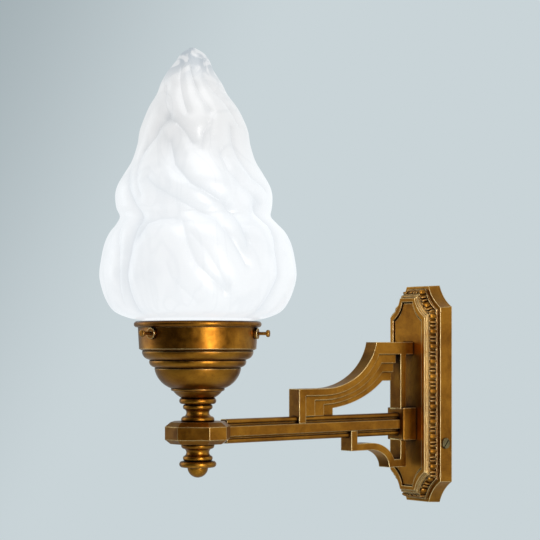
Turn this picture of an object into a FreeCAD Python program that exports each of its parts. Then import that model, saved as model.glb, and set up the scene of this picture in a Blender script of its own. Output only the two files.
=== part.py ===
import FreeCAD, Part
import math
import os

# Torch sconce: a cast wall plate, a bracketed arm, an octagonal hub, a turned
# stem, a spun gallery and a flame-shaped glass shade. Millimetres, +Z up.
# The origin is the centre of the wall fixing, on the wall plane Y = 0.
# The arm reaches out towards -Y, and X = 0 is the plane of symmetry.

Vec = FreeCAD.Vector
X_AXIS = Vec(1, 0, 0)
Y_AXIS = Vec(0, 1, 0)
Z_AXIS = Vec(0, 0, 1)

# ---- clearances that every fit uses ----
running_clearance = 0.05       # radial, a threaded shaft that turns
loose_clearance = 0.3          # a part that lifts away or drops in
fixing_clearance = 0.25        # radial, a fixing screw in its hole
wire_clearance = 0.3           # between a wire and its channel
past = 1.0                     # how far a cutting tool runs past a face
touching = 0.001               # faces closer than this are in one plane

# ---- main sizes ----
reach = 240.0                  # wall to the lamp's axis
arm_height = -23.9             # the arm's centre line, above the wall fixing

# ---- wall plate ----
plate_width = 52.0             # front edge of the side walls
plate_height = 176.4
notch_width = 13.4             # each corner is cut away by a hollow curve
notch_height = 17.5
notch_sag = 2.0                # depth of that curve
notch_width_taper = 0.33       # how the notch shrinks on each inner step
notch_height_taper = 0.2
wall_depth = 12.5              # height of the side walls off the wall
wall_draft = 0.8
rim_side_inset = 2.8           # raised rim inside the front land
rim_end_inset = 2.0
rim_rise = 1.7
cove_side_inset = 4.0          # foot of the sloping bead band
cove_end_inset = 2.9
crown_side_inset = 5.1         # top of the sloping bead band
crown_end_inset = 6.4
bead_band_rise = 7.3           # how far the crown stands off the side walls
ridge_side_inset = 4.8         # thin ridge above the beads
ridge_end_inset = 7.2
ridge_start = 8.3
ridge_height = 1.5
frame_side_inset = 5.9         # flat frame round the panel
frame_end_inset = 9.3
frame_rise = 12.1
panel_border_side = 3.9        # width of that frame
panel_border_end = 3.8
panel_recess = 1.3
panel_groove_width = 0.9       # groove round the foot of the panel's edge
panel_groove_depth = 0.6
step_draft = 0.5               # slope of each raised step's edge
neck_draft = 0.3               # slope of the panel's edge
plate_wall = 2.2               # casting thickness of the outer walls
crown_wall = 2.4               # casting thickness under the frame

# ---- wall strap and what it carries ----
strap_width = 24.0
strap_thickness = 2.0
strap_bottom = -62.0           # lower end, above the wall fixing
strap_tab_depth = 8.0          # top end bent forward to locate the plate
strap_tab_width = 16.0
wall_slot_pitch = 70.0         # between the two wall screws
wall_slot_width = 5.0
wall_slot_length = 10.0
ear_height = 12.0
ear_thickness = 2.0
grommet_height = 8.0           # cable entry, above the wall fixing
grommet_hole = 7.0
grommet_flange = 14.0
grommet_waist = 10.5
grommet_flange_thickness = 1.2
earth_stud_height = -14.0
earth_stud_side = -7.3         # to one side of the wires
earth_stud_diameter = 4.0
earth_stud_length = 9.0
earth_nut_across = 7.0
earth_nut_thickness = 3.0
earth_washer_diameter = 9.0
earth_washer_thickness = 0.8

# ---- side screws that hold the plate to the strap ----
side_screw_height = -39.8
side_screw_depth = 7.1         # off the wall
side_screw_diameter = 4.0
side_screw_head = 8.4
side_screw_head_thickness = 1.5
side_screw_length = 9.0
side_screw_slot_width = 1.0
side_screw_slot_depth = 0.8
side_screw_slot_angle = 50.0
side_screw_edge = 0.35         # rounding of the head

# ---- terminal block ----
terminal_width = 20.0
terminal_height = 14.0
terminal_depth = 11.0
terminal_centre = 36.0         # above the wall fixing
terminal_pitch = 9.0
terminal_wire_hole = 3.0
terminal_screw_diameter = 3.0
terminal_screw_length = 4.0
terminal_foot_gap = 1.0        # it stands this far off the strap
terminal_edge = 0.8
terminal_screw_sink = 0.6
terminal_slot_width = 0.6
terminal_slot_depth = 0.7
wire_radius = 0.95
wire_offset = 1.15             # each wire, sideways from the channel's centre
wire_bend = 5.0
wire_straight = 6.0            # below the terminal block
wire_jog = 14.0                # height over which the wires draw together

# ---- boss and bracket castings ----
boss_width = 19.0
boss_height = 26.0
boss_front = 38.0              # off the wall
bar_thickness = 12.3
band_height = 7.6              # raised band along the arm
rail_height = 18.0             # over the rounded rails above and below it
rail_thickness = 8.4
rail_depth = 3.8               # height of one rounded rail
web_thickness = 6.4
wire_bore = 5.4
upright_depth = 6.0            # the bracket's rear upright
boss_edge = 1.2                # rounding of the boss's front edges
band_edge = 0.5                # rounding of the arm's raised band

arch_centre_reach = 120.0      # centre of the arch curves, off the wall
arch_centre_rise = 73.7        # and above the arm's centre line
arch_half_length = 56.0        # outer curve
arch_half_height = 43.5
arch_band_length = 6.0         # from the outer curve to the inner one
arch_band_height = 5.4
step_length = 8.0              # from each stepped rib to the next
step_height = 3.6
step_count = 3
step_depth = 1.5
post_reach = 146.7             # outer face of the post, off the wall
post_width = 6.7
step_column = 10.6             # width of each rib's upright part
top_bar_rise = 66.3            # top of the top bar above the arm's centre line
top_bar_thickness = 9.8
step_bar_height = 7.1          # height of each rib's level end
step_end_gap = 4.2             # from the first rib's end to the upright
step_end_setback = 1.1         # each rib ends this much shorter

lower_post_reach = 92.3
lower_post_width = 6.4
lower_post_drop = 19.7         # underside of the post, below the arm's centre
lower_centre_reach = 71.0
lower_centre_drop = 34.6
lower_half_length = 20.4
lower_half_height = 14.9
lower_band_length = 6.6
lower_band_height = 5.6
lower_bar_thickness = 6.2

# ---- screws from inside the plate ----
boss_screw_diameter = 5.0
boss_screw_pitch = 17.0
boss_screw_grip = 9.0          # thread length inside the boss
boss_screw_head = 8.0
boss_screw_head_thickness = 2.6
bar_screw_diameter = 4.0
bar_screw_grip = 8.0
bar_screw_head = 6.5
bar_screw_head_thickness = 2.2
screw_washer_extra = 1.6       # washer diameter over the head's
screw_washer_thickness = 0.8
screw_slot_width = 1.0
screw_slot_depth = 1.0

# ---- hub ----
hub_across = 48.4              # across the short faces
hub_short_face = 15.4
hub_height = 16.0
hub_chamfer_rise = 3.3
hub_chamfer_inset = 4.0
hub_wall = 2.6
hub_cavity_diameter = 30.0
nipple_diameter = 10.0
nipple_bore = 7.4

# ---- turned collars, the lower one a mirror of the upper one ----
collar_foot_radius = 12.2
collar_foot_height = 3.9
collar_foot_edge = 0.6         # drawn in at the foot
collar_foot_swell = 0.45       # the foot is widest at this part of its height
collar_neck_radius = 8.4
collar_neck_height = 5.2
collar_neck_flare = 1.6
collar_bead_radius = 10.9
collar_bead_height = 3.3
collar_bead_edge = 0.7
collar_groove_radius = 9.6
collar_groove_height = 0.6
collar_flange_radius = 13.6
collar_flange_height = 4.3
collar_flange_edge = 1.4
finial_radius = 7.6
finial_sink = 0.1              # how far the ball's centre stands below the flange

# ---- gallery ----
gallery_wall = 1.0
gallery_mouth_radius = 43.8
gallery_lip_radius = 2.2
gallery_lip_reach = 46.7       # over the rolled lip
gallery_height = 56.0          # from its seat to the top of the lip
gallery_floor_radius = 11.9
gallery_wall_lift = 0.7        # the inside follows the outside this much higher

# Outside of the cup up to its band, above its seat. Each step is a straight
# line to (radius, height), or an arc given as (radius, height) of its middle
# and of its end.
gallery_profile = [
    (15.3, 2.2, 17.8, 4.8), (18.7, 5.2), (19.7, 6.0, 19.4, 7.0),
    (28.2, 13.4, 31.7, 21.4), (31.2, 22.0), (32.5, 22.7),
    (34.9, 24.4, 35.5, 27.1), (35.0, 27.7), (36.8, 28.4),
    (39.8, 30.7, 40.8, 33.8), (40.3, 34.5), (42.9, 35.8)]

# ---- thumb screws ----
thumb_screw_count = 3
thumb_screw_first_angle = 35.0
thumb_screw_rise = 47.0        # above the gallery's seat
thumb_screw_diameter = 2.4
thumb_screw_head = 5.2
thumb_screw_head_thickness = 2.3
thumb_screw_head_edge = 0.7
thumb_screw_shank = 6.3        # visible between bush and head
bush_diameter = 8.0
bush_thickness = 2.3
bush_sink = 0.3                # the bush is let into the band by this much

# ---- lampholder ----
lock_nut_across = 17.0
lock_nut_thickness = 3.5
holder_cap_height = 14.0
holder_cap_wall = 1.0
holder_cap_foot_radius = 8.5
holder_cap_bulge = 3.4         # the dome's middle, inside the shell's radius
holder_cap_bulge_rise = 0.42   # and at this part of the cap's height
holder_radius = 19.5
holder_shell_height = 30.0
holder_shell_wall = 1.0
holder_core_thickness = 9.0
holder_lip_width = 2.5         # turned-in top edge of the shell
core_hole_offset = 7.0         # the two wires come up through the core here
core_hole_radius = 1.6
thread_sleeve_wall = 0.6
thread_sleeve_height = 22.0
contact_radius = 4.0
contact_thickness = 0.8

# ---- bulb ----
bulb_radius = 30.0
bulb_cap_radius = 13.0
bulb_cap_height = 22.0
bulb_cap_wall = 0.5
bulb_length = 105.0            # contact to crown
bulb_glass_wall = 0.8
bulb_neck_radius = 14.5
bulb_glass_overlap = 6.0       # how far the glass stands down inside the cap
bulb_shoulder_rise = 0.5
bulb_round_low = 28.0          # the round part starts this far below its widest
bulb_round_high = 30.0
bulb_flare_in = 1.2            # bow of the flare between neck and round part
bulb_flare_up = 1.0
bulb_insulator_height = 3.5
bulb_insulator_edge = 1.5      # the insulator is this much smaller than the cap
bulb_contact_radius = 3.2
bulb_contact_height = 0.9
stem_radius = 3.0
stem_height = 34.0
filament_wire = 0.8
filament_width = 22.0
filament_rise = 12.0
filament_peak = 3.0
filament_lead_gap = 1.6
filament_bend = 1.6

# ---- glass shade ----
neck_radius = 40.0
neck_height = 18.6             # of the straight fitter neck
glass_wall = 3.2
shade_height = 199.0           # visible height above the gallery's lip
shade_seat_gap = 0.9           # from the lip to the glass shoulder
tip_solid = 31.0               # the tip is solid glass
hollow_margin = 3.3            # the hollow stays this many walls inside the folds
tip_hollow_radius = 6.0
fold_reference_angle = -37.4   # fold angles are counted from here
fold_symmetry = 2
fold_softness = 1.5            # widens every fold
fold_turns = 2                 # repeats looked at on either side
fold_limit = 4.6               # deepest that folds can press together
fold_fade_radius = 26.0        # folds grow shallow where the flame is thinner
row_easing = 0.09              # draws the rows together near both ends
shade_rows = 42
points_per_row = 72

# Outline of the flame, as (height above its shoulder, radius).
flame_outline = [
    (0.0, 42.0), (1.6, 50.5), (6.0, 60.5), (14.0, 66.6), (24.0, 70.4),
    (33.0, 72.0), (45.0, 70.6), (56.0, 68.0), (64.0, 64.0), (70.0, 58.8),
    (75.5, 55.2), (82.0, 56.8), (91.0, 57.4), (98.0, 55.6), (107.0, 50.5),
    (116.0, 45.2), (128.0, 41.3), (138.0, 39.6), (148.0, 35.8),
    (156.0, 31.8), (165.0, 25.8), (173.0, 22.3), (182.0, 16.8),
    (190.0, 12.0), (195.0, 8.2), (199.0, 2.0)]

# Heights at which the room inside follows the outline.
hollow_levels = [10.0, 33.0, 56.0, 75.0, 92.0, 116.0, 138.0, 156.0, 168.0]

# How far the flame leans sideways, as (height, lean).
flame_lean = [
    (0.0, 0.0), (66.0, 0.0), (82.0, -2.6), (145.0, -2.9), (166.0, -4.2),
    (182.0, -5.0), (190.0, -3.6), (199.0, -4.0)]

# Hollows pressed into the glass: depth, half width, then the path as
# (angle, height above the shoulder). Each is repeated round the shade.
flame_folds = [
    (3.0, 5.5, [(-24, 126), (-16, 109), (-2, 95), (22, 81), (29, 72), (31, 52)]),
    (2.6, 5.0, [(-38, 100), (-29, 93), (-12, 84), (13, 69), (19, 58), (28, 38)]),
    (2.4, 4.5, [(-39, 59), (-36, 67), (-27, 70), (-16, 70)]),
    (1.8, 4.0, [(-10, 67), (-6, 52), (-1, 38), (7, 28), (16, 19)]),
    (1.2, 3.5, [(-4, 59), (4, 48), (16, 23)]),
    (1.6, 4.0, [(-18, 38), (-15, 28), (-1, 12)]),
    (3.4, 5.0, [(-44, 66), (-44, 47), (-46, 28), (-45, 6)]),
    (2.0, 4.0, [(-62, 64), (-54, 50), (-52, 34), (-55, 12)]),
    (2.6, 4.5, [(-74, 109), (-58, 97), (-50, 84), (-44, 72)]),
    (1.8, 4.0, [(-60, 115), (-50, 101), (-42, 88)]),
    (3.2, 5.5, [(52, 80), (58, 67), (54, 49), (54, 30), (46, 6)]),
    (2.4, 4.5, [(44, 138), (43, 126), (47, 112), (52, 101), (69, 93)]),
    (2.0, 4.5, [(26, 120), (29, 105), (38, 93), (60, 82)]),
    (2.4, 4.0, [(-58, 121), (-44, 130), (-34, 142)]),
    (2.4, 4.0, [(-30, 143), (-19, 140), (-9, 133), (-2, 125)]),
    (1.6, 3.5, [(7, 120), (10, 132), (16, 139)]),
    (1.8, 3.5, [(-52, 169), (-40, 156), (-30, 146)]),
    (1.6, 3.0, [(-25, 182), (-20, 168), (-8, 148)]),
    (1.6, 3.0, [(-2, 182), (6, 168), (20, 148)]),
    (1.6, 3.0, [(30, 172), (46, 158), (58, 140)])]

# ---- values worked out from the sizes above ----
half_width = plate_width / 2
half_height = plate_height / 2
frame_front = wall_depth + frame_rise
panel_front = frame_front - panel_recess
cavity_front = panel_front - panel_groove_depth - crown_wall
axis_y = -reach
hub_half = hub_across / 2
hub_top = arm_height + hub_height / 2
hub_bottom = arm_height - hub_height / 2
collar_height = (collar_foot_height + collar_neck_height + collar_bead_height
                 + collar_groove_height + collar_flange_height)
gallery_seat = hub_top + collar_height
gallery_lip = gallery_seat + gallery_height
nut_base = gallery_seat + gallery_wall
holder_base = nut_base + lock_nut_thickness
shell_base = holder_base + holder_cap_height
shell_top = shell_base + holder_shell_height
core_top = shell_base + holder_core_thickness
bulb_tip = core_top + contact_thickness + loose_clearance
bulb_cap_base = bulb_tip + bulb_contact_height + bulb_insulator_height
stem_base = bulb_cap_base + bulb_cap_height - bulb_glass_overlap + bulb_glass_wall
shade_shoulder = gallery_lip + shade_seat_gap
neck_inner = neck_radius - glass_wall
thumb_screw_height = gallery_seat + thumb_screw_rise
thread_sleeve_radius = bulb_cap_radius + loose_clearance + thread_sleeve_wall
wire_start_depth = strap_thickness + terminal_foot_gap + terminal_depth / 2


def export(node, shape):
    """Write one node's solids."""
    if not shape.isValid():
        print("INVALID", node)
    shape.exportStep("parts/" + node + ".step")
    print(node, len(shape.Solids), round(shape.Volume, 1))


def box(low, high):
    """Box between two opposite corners."""
    size = high - low
    return Part.makeBox(size.x, size.y, size.z, low)


def cylinder(base, axis, radius, length):
    return Part.makeCylinder(radius, length, base, axis)


def tube(base, axis, outer, inner, length):
    return cylinder(base, axis, outer, length).cut(cylinder(base, axis, inner, length))


def fuse_all(shapes):
    """One solid from several that overlap."""
    joined = shapes[0].fuse(shapes[1:]) if len(shapes) > 1 else shapes[0]
    return joined.removeSplitter()


def cut_all(shape, tools):
    for tool in tools:
        shape = shape.cut(tool)
    return shape


def hexagon(across, thickness, base, axis):
    """Hexagonal prism standing on base."""
    corner_radius = across / math.sqrt(3)
    corners = [Vec(corner_radius * math.cos(math.radians(60 * k)),
                   corner_radius * math.sin(math.radians(60 * k)), 0) for k in range(7)]
    prism = Part.Face(Part.makePolygon(corners)).extrude(Vec(0, 0, thickness))
    prism.Placement = FreeCAD.Placement(base, FreeCAD.Rotation(Z_AXIS, axis))
    return prism


def revolve_profile(edges, centre):
    """Full turn of a closed outline drawn in the X-Z plane, stood on centre."""
    solid = Part.Face(Part.Wire(edges)).revolve(Vec(0, 0, 0), Z_AXIS, 360)
    solid.translate(centre)
    return solid


def polyline(points):
    """Straight edges through (radius, height) points."""
    corners = [Vec(r, 0, z) for r, z in points]
    return [Part.LineSegment(a, b).toShape() for a, b in zip(corners, corners[1:])]


def arc(start, middle, end):
    """Arc through three (radius, height) points."""
    return Part.Arc(Vec(start[0], 0, start[1]), Vec(middle[0], 0, middle[1]),
                    Vec(end[0], 0, end[1])).toShape()


def fillet_edges(shape, radius, wanted):
    """Round the edges that the test picks, or leave them if none are picked."""
    edges = [edge for edge in shape.Edges if wanted(edge)]
    return shape.makeFillet(radius, edges) if edges else shape


# ---------------------------------------------------------------- wall plate

def plate_outline(side_inset, end_inset, depth):
    """Outline of one step of the plate, a depth off the wall."""
    w = half_width - side_inset
    h = half_height - end_inset
    notch_w = notch_width - notch_width_taper * side_inset
    notch_h = notch_height - notch_height_taper * end_inset
    start_x = w - notch_w
    start_z = h - notch_h
    edges = []
    previous = None
    first = None
    for sx, sz in ((1, 1), (1, -1), (-1, -1), (-1, 1)):
        on_end = Vec(sx * start_x, -depth, sz * h)
        on_side = Vec(sx * w, -depth, sz * start_z)
        middle = (on_end + on_side) * 0.5
        inward = Vec(-sx * notch_h, 0, -sz * notch_w)
        middle = middle + inward * (notch_sag / inward.Length)
        a, b = (on_end, on_side) if sx * sz > 0 else (on_side, on_end)
        if previous is None:
            first = a
        else:
            edges.append(Part.LineSegment(previous, a).toShape())
        edges.append(Part.Arc(a, middle, b).toShape())
        previous = b
    edges.append(Part.LineSegment(previous, first).toShape())
    return Part.Wire(edges)


def plate_step(foot, top):
    """Solid between two outlines, each given as (side inset, end inset, depth)."""
    return Part.makeLoft([plate_outline(*foot), plate_outline(*top)], True, True)


def side_screw_axes():
    """Base point and outward direction of each side screw."""
    screw_draft = wall_draft * (1 - side_screw_depth / wall_depth)
    wall_face = half_width + screw_draft
    return [(Vec(side * wall_face, -side_screw_depth, side_screw_height), X_AXIS * side)
            for side in (1, -1)]


def fixing_screw_places():
    """Each screw through the plate's front: height, diameter, head, grip."""
    top_bar_centre = arm_height + top_bar_rise - top_bar_thickness / 2
    places = [(arm_height + side * boss_screw_pitch / 2, boss_screw_diameter,
               boss_screw_head, boss_screw_head_thickness, boss_screw_grip)
              for side in (1, -1)]
    places.append((top_bar_centre, bar_screw_diameter, bar_screw_head,
                   bar_screw_head_thickness, bar_screw_grip))
    return places


def plate_rise(side_inset, end_inset, low, high):
    """Raised step of the plate with slightly sloping edges."""
    return plate_step((side_inset, end_inset, low),
                      (side_inset + step_draft, end_inset + step_draft, high))


def panel_cuts():
    """Cutting shapes for the sunk panel and for the groove round its foot."""
    side = frame_side_inset + panel_border_side
    end = frame_end_inset + panel_border_end
    recess = plate_step((side, end, panel_front),
                        (side - neck_draft, end - neck_draft, frame_front + past))
    groove = plate_step((side, end, panel_front - panel_groove_depth), (side, end, panel_front))
    island = plate_step((side + panel_groove_width, end + panel_groove_width,
                         panel_front - panel_groove_depth),
                        (side + panel_groove_width, end + panel_groove_width, panel_front))
    return [recess, groove.cut(island)]


def make_backplate():
    body = plate_step((-wall_draft, -wall_draft, 0), (0, 0, wall_depth))
    rim = plate_rise(rim_side_inset, rim_end_inset, wall_depth - past, wall_depth + rim_rise)
    crown_front = wall_depth + bead_band_rise
    crown = plate_step((cove_side_inset, cove_end_inset, wall_depth),
                       (crown_side_inset, crown_end_inset, crown_front))
    neck = plate_step((crown_side_inset, crown_end_inset, crown_front - past),
                      (frame_side_inset, frame_end_inset, frame_front - ridge_height))
    ridge_foot = wall_depth + ridge_start
    ridge = plate_rise(ridge_side_inset, ridge_end_inset, ridge_foot, ridge_foot + ridge_height)
    frame = plate_rise(frame_side_inset, frame_end_inset, frame_front - 2 * ridge_height,
                       frame_front)
    plate = fuse_all([body, rim, crown, neck, ridge, frame])
    low_cavity = plate_step((plate_wall - wall_draft, plate_wall - wall_draft, -past),
                            (plate_wall, plate_wall, wall_depth - plate_wall))
    high_cavity = plate_step((crown_side_inset + plate_wall, crown_end_inset + plate_wall,
                              wall_depth - plate_wall - past),
                             (frame_side_inset + plate_wall, frame_end_inset + plate_wall,
                              cavity_front))
    plate = cut_all(plate, panel_cuts() + [low_cavity, high_cavity])
    for base, outward in side_screw_axes():
        radius = side_screw_diameter / 2 + fixing_clearance
        start = base - outward * (2 * plate_wall)
        seat_radius = side_screw_head / 2 + fixing_clearance
        plate = cut_all(plate, [cylinder(start, outward, radius, 3 * plate_wall),
                                cylinder(base, outward, seat_radius, plate_wall)])
    for height, diameter, head, head_thickness, grip in fixing_screw_places():
        start = Vec(0, -(frame_front + past), height)
        radius = diameter / 2 + fixing_clearance
        plate = plate.cut(cylinder(start, Y_AXIS, radius, frame_front - cavity_front + 2 * past))
    wire_start = Vec(0, -(frame_front + past), arm_height)
    return plate.cut(cylinder(wire_start, Y_AXIS, wire_bore / 2,
                              frame_front - cavity_front + 2 * past))


# ---------------------------------------------------------------- wall strap

def ear_outer():
    """Half width over the strap's ears, just inside the plate's walls."""
    return half_width - plate_wall - loose_clearance


def make_wall_strap():
    ear_front = wall_depth - plate_wall - loose_clearance
    top = half_height - plate_wall - loose_clearance
    strip = box(Vec(-strap_width / 2, -strap_thickness, strap_bottom),
                Vec(strap_width / 2, 0, top))
    tab = box(Vec(-strap_tab_width / 2, -strap_tab_depth, top - strap_thickness),
              Vec(strap_tab_width / 2, 0, top))
    cross = box(Vec(-ear_outer(), -strap_thickness, side_screw_height - ear_height / 2),
                Vec(ear_outer(), 0, side_screw_height + ear_height / 2))
    ears = [box(Vec(min(side * ear_outer(), side * (ear_outer() - ear_thickness)),
                    -ear_front, side_screw_height - ear_height / 2),
                Vec(max(side * ear_outer(), side * (ear_outer() - ear_thickness)),
                    0, side_screw_height + ear_height / 2)) for side in (1, -1)]
    strap = fuse_all([strip, tab, cross] + ears)
    for side in (1, -1):
        strap = strap.cut(wall_slot(side * wall_slot_pitch / 2))
    through = 3 * strap_thickness
    strap = strap.cut(cylinder(Vec(0, -through, grommet_height), Y_AXIS,
                               grommet_waist / 2, 2 * through))
    strap = strap.cut(cylinder(Vec(earth_stud_side, -through, earth_stud_height), Y_AXIS,
                               earth_stud_diameter / 2, 2 * through))
    for base, outward in side_screw_axes():
        start = base - outward * side_screw_length
        strap = strap.cut(cylinder(start, outward, side_screw_diameter / 2, side_screw_length))
    return strap


def wall_slot(height):
    """Upright slot for one wall screw."""
    straight = wall_slot_length - wall_slot_width
    deep = 3 * strap_thickness
    parts = [cylinder(Vec(0, -deep, height + end * straight / 2), Y_AXIS,
                      wall_slot_width / 2, 2 * deep) for end in (1, -1)]
    parts.append(box(Vec(-wall_slot_width / 2, -deep, height - straight / 2),
                     Vec(wall_slot_width / 2, deep, height + straight / 2)))
    return fuse_all(parts)


def make_cable_grommet():
    """Rubber ring through the strap; its rear lip fits flush with the wall."""
    front = Vec(0, -(strap_thickness + grommet_flange_thickness), grommet_height)
    flange = cylinder(front, Y_AXIS, grommet_flange / 2, grommet_flange_thickness)
    waist = cylinder(front, Y_AXIS, grommet_waist / 2,
                     strap_thickness + grommet_flange_thickness)
    bore = cylinder(front, Y_AXIS, grommet_hole / 2,
                    strap_thickness + grommet_flange_thickness)
    return flange.fuse(waist).cut(bore).removeSplitter()


def make_earth_stud():
    """Threaded stud fixed in the strap."""
    front = strap_thickness + earth_stud_length
    return cylinder(Vec(earth_stud_side, -front, earth_stud_height), Y_AXIS,
                    earth_stud_diameter / 2, front)


def make_earth_nut():
    washer_front = strap_thickness + earth_washer_thickness
    base = Vec(earth_stud_side, -washer_front, earth_stud_height)
    nut = hexagon(earth_nut_across, earth_nut_thickness, base, -Y_AXIS)
    bore = cylinder(base, -Y_AXIS, earth_stud_diameter / 2, earth_nut_thickness)
    return nut.cut(bore)


def make_earth_washer():
    base = Vec(earth_stud_side, -strap_thickness, earth_stud_height)
    return tube(base, -Y_AXIS, earth_washer_diameter / 2, earth_stud_diameter / 2,
                earth_washer_thickness)


def make_side_screws():
    """Two slotted cheese-head screws, through the plate into the ears."""
    screws = []
    for base, outward in side_screw_axes():
        head = cylinder(base, outward, side_screw_head / 2, side_screw_head_thickness)
        head = fillet_edges(head, side_screw_edge, lambda edge: abs(edge.CenterOfMass.x) >
                            abs(base.x) + side_screw_head_thickness / 2
                            and edge.Curve.TypeId == "Part::GeomCircle")
        shank = cylinder(base, -outward, side_screw_diameter / 2, side_screw_length)
        slot = box(Vec(-side_screw_slot_width / 2, -side_screw_head, 0),
                   Vec(side_screw_slot_width / 2, side_screw_head, side_screw_slot_depth))
        slot.rotate(Vec(0, 0, 0), Z_AXIS, side_screw_slot_angle)
        slot_base = base + outward * (side_screw_head_thickness - side_screw_slot_depth)
        slot.Placement = FreeCAD.Placement(
            slot_base, FreeCAD.Rotation(Z_AXIS, outward)).multiply(slot.Placement)
        screws.append(head.fuse(shank).cut(slot).removeSplitter())
    return Part.makeCompound(screws)


# ------------------------------------------------------------ terminal block

def terminal_places():
    return [side * terminal_pitch / 2 for side in (1, -1)]


def make_terminal_block():
    rear = strap_thickness + terminal_foot_gap
    block = box(Vec(-terminal_width / 2, -(rear + terminal_depth),
                    terminal_centre - terminal_height / 2),
                Vec(terminal_width / 2, -rear, terminal_centre + terminal_height / 2))
    foot = box(Vec(-terminal_pitch / 4, -rear, terminal_centre - terminal_height / 2),
               Vec(terminal_pitch / 4, -strap_thickness, terminal_centre + terminal_height / 2))
    block = fillet_edges(block, terminal_edge, lambda edge: edge.Length > terminal_depth)
    block = fuse_all([block, foot])
    for x in terminal_places():
        wire_hole = cylinder(Vec(x, -wire_start_depth, terminal_centre - terminal_height),
                             Z_AXIS, terminal_wire_hole / 2, 2 * terminal_height)
        screw_hole = cylinder(Vec(x, -(rear + terminal_depth), terminal_centre), Y_AXIS,
                              terminal_screw_diameter / 2, terminal_screw_length)
        block = cut_all(block, [wire_hole, screw_hole])
    return block


def make_terminal_screws():
    """Two slotted screws sunk in the block."""
    head_face = strap_thickness + terminal_foot_gap + terminal_depth - terminal_screw_sink
    length = terminal_screw_length - terminal_screw_sink - wire_clearance
    screws = []
    for x in terminal_places():
        screw = cylinder(Vec(x, -head_face, terminal_centre), Y_AXIS,
                         terminal_screw_diameter / 2, length)
        slot = box(Vec(x - terminal_screw_diameter, -(head_face + past),
                       terminal_centre - terminal_slot_width / 2),
                   Vec(x + terminal_screw_diameter, -(head_face - terminal_slot_depth),
                       terminal_centre + terminal_slot_width / 2))
        screws.append(screw.cut(slot))
    return Part.makeCompound(screws)


def make_wire(side):
    """Insulated wire from the terminal block through the arm to the lampholder."""
    x = side * wire_offset
    top = terminal_centre - terminal_height / 2 - wire_clearance
    terminal_x = side * terminal_pitch / 2
    jog_top = top - wire_straight
    jog_bottom = jog_top - wire_jog
    depth = -wire_start_depth
    corners = [Vec(terminal_x, depth, top), Vec(terminal_x, depth, jog_top),
               Vec(x, depth, jog_bottom), Vec(x, depth, arm_height),
               Vec(x, axis_y, arm_height), Vec(x, axis_y, holder_base - wire_clearance)]
    return round_tube(corners, wire_bend, wire_radius)


def round_tube(corners, bend, radius):
    """Round bar along straight runs joined by tangent arcs of one bend radius."""
    edges = []
    start = corners[0]
    for before, corner, after in zip(corners, corners[1:], corners[2:]):
        incoming = (corner - before).normalize()
        outgoing = (after - corner).normalize()
        turn = incoming.getAngle(outgoing)
        setback = bend * math.tan(turn / 2)
        arc_start = corner - incoming * setback
        arc_end = corner + outgoing * setback
        toward_centre = (outgoing - incoming).normalize()
        centre = corner + toward_centre * (bend / math.cos(turn / 2))
        arc_middle = centre - toward_centre * bend
        edges.append(Part.LineSegment(start, arc_start).toShape())
        edges.append(Part.Arc(arc_start, arc_middle, arc_end).toShape())
        start = arc_end
    edges.append(Part.LineSegment(start, corners[-1]).toShape())
    direction = (corners[1] - corners[0]).normalize()
    section = Part.Wire([Part.Circle(corners[0], direction, radius).toShape()])
    return Part.Wire(edges).makePipeShell([section], True, True)


# ------------------------------------------------------- arm and its brackets

def arm_section():
    """Cross-section of the arm: a flat band between two rounded rails."""
    band = box(Vec(-bar_thickness / 2, 0, -band_height / 2),
               Vec(bar_thickness / 2, 1, band_height / 2))
    web_half = rail_height / 2 - rail_depth / 2
    web = box(Vec(-web_thickness / 2, 0, -web_half), Vec(web_thickness / 2, 1, web_half))
    shapes = [band, web]
    for side in (1, -1):
        centre_z = side * (rail_height / 2 - rail_depth / 2)
        flat = rail_thickness / 2 - rail_depth / 2
        shapes.append(box(Vec(-flat, 0, centre_z - rail_depth / 2),
                          Vec(flat, 1, centre_z + rail_depth / 2)))
        shapes += [cylinder(Vec(edge * flat, 0, centre_z), Y_AXIS, rail_depth / 2, 1)
                   for edge in (1, -1)]
    section = fuse_all(shapes)
    faces = [face for face in section.Faces if abs(face.CenterOfMass.y) < touching]
    return faces[0]


def make_arm_bar():
    """Straight arm from the hub to the boss, with a channel for the wires."""
    start = axis_y + hub_half
    face = arm_section()
    face.translate(Vec(0, start, arm_height))
    bar = face.extrude(Vec(0, -boss_front - start, 0))
    bar = fillet_edges(bar, band_edge, lambda edge: edge.Length > reach / 2
                       and abs(abs(edge.CenterOfMass.x) - bar_thickness / 2) < touching)
    bore = cylinder(Vec(0, start - past, arm_height), Y_AXIS, wire_bore / 2, reach)
    return bar.cut(bore)


def ellipse_bar(centre_reach, centre_z, half_length, half_height, thickness):
    """Solid elliptic bar across the bracket, centred on X = 0."""
    curve = Part.Ellipse(Vec(0, 0, 0), half_length, half_height)
    bar = Part.Face(Part.Wire([curve.toShape()])).extrude(Vec(0, 0, thickness))
    turn = FreeCAD.Rotation(Y_AXIS, Z_AXIS, X_AXIS, "ZXY")
    bar.Placement = FreeCAD.Placement(Vec(-thickness / 2, -centre_reach, centre_z), turn)
    return bar


def upper_curve(step, thickness):
    """Arch curve number step: 0 is the band's inner edge, -1 its outer one."""
    grow_length = 0.0 if step < 0 else arch_band_length + step * step_length
    grow_height = 0.0 if step < 0 else arch_band_height + step * step_height
    return ellipse_bar(arch_centre_reach, arm_height + arch_centre_rise,
                       arch_half_length + grow_length, arch_half_height + grow_height,
                       thickness)


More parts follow.
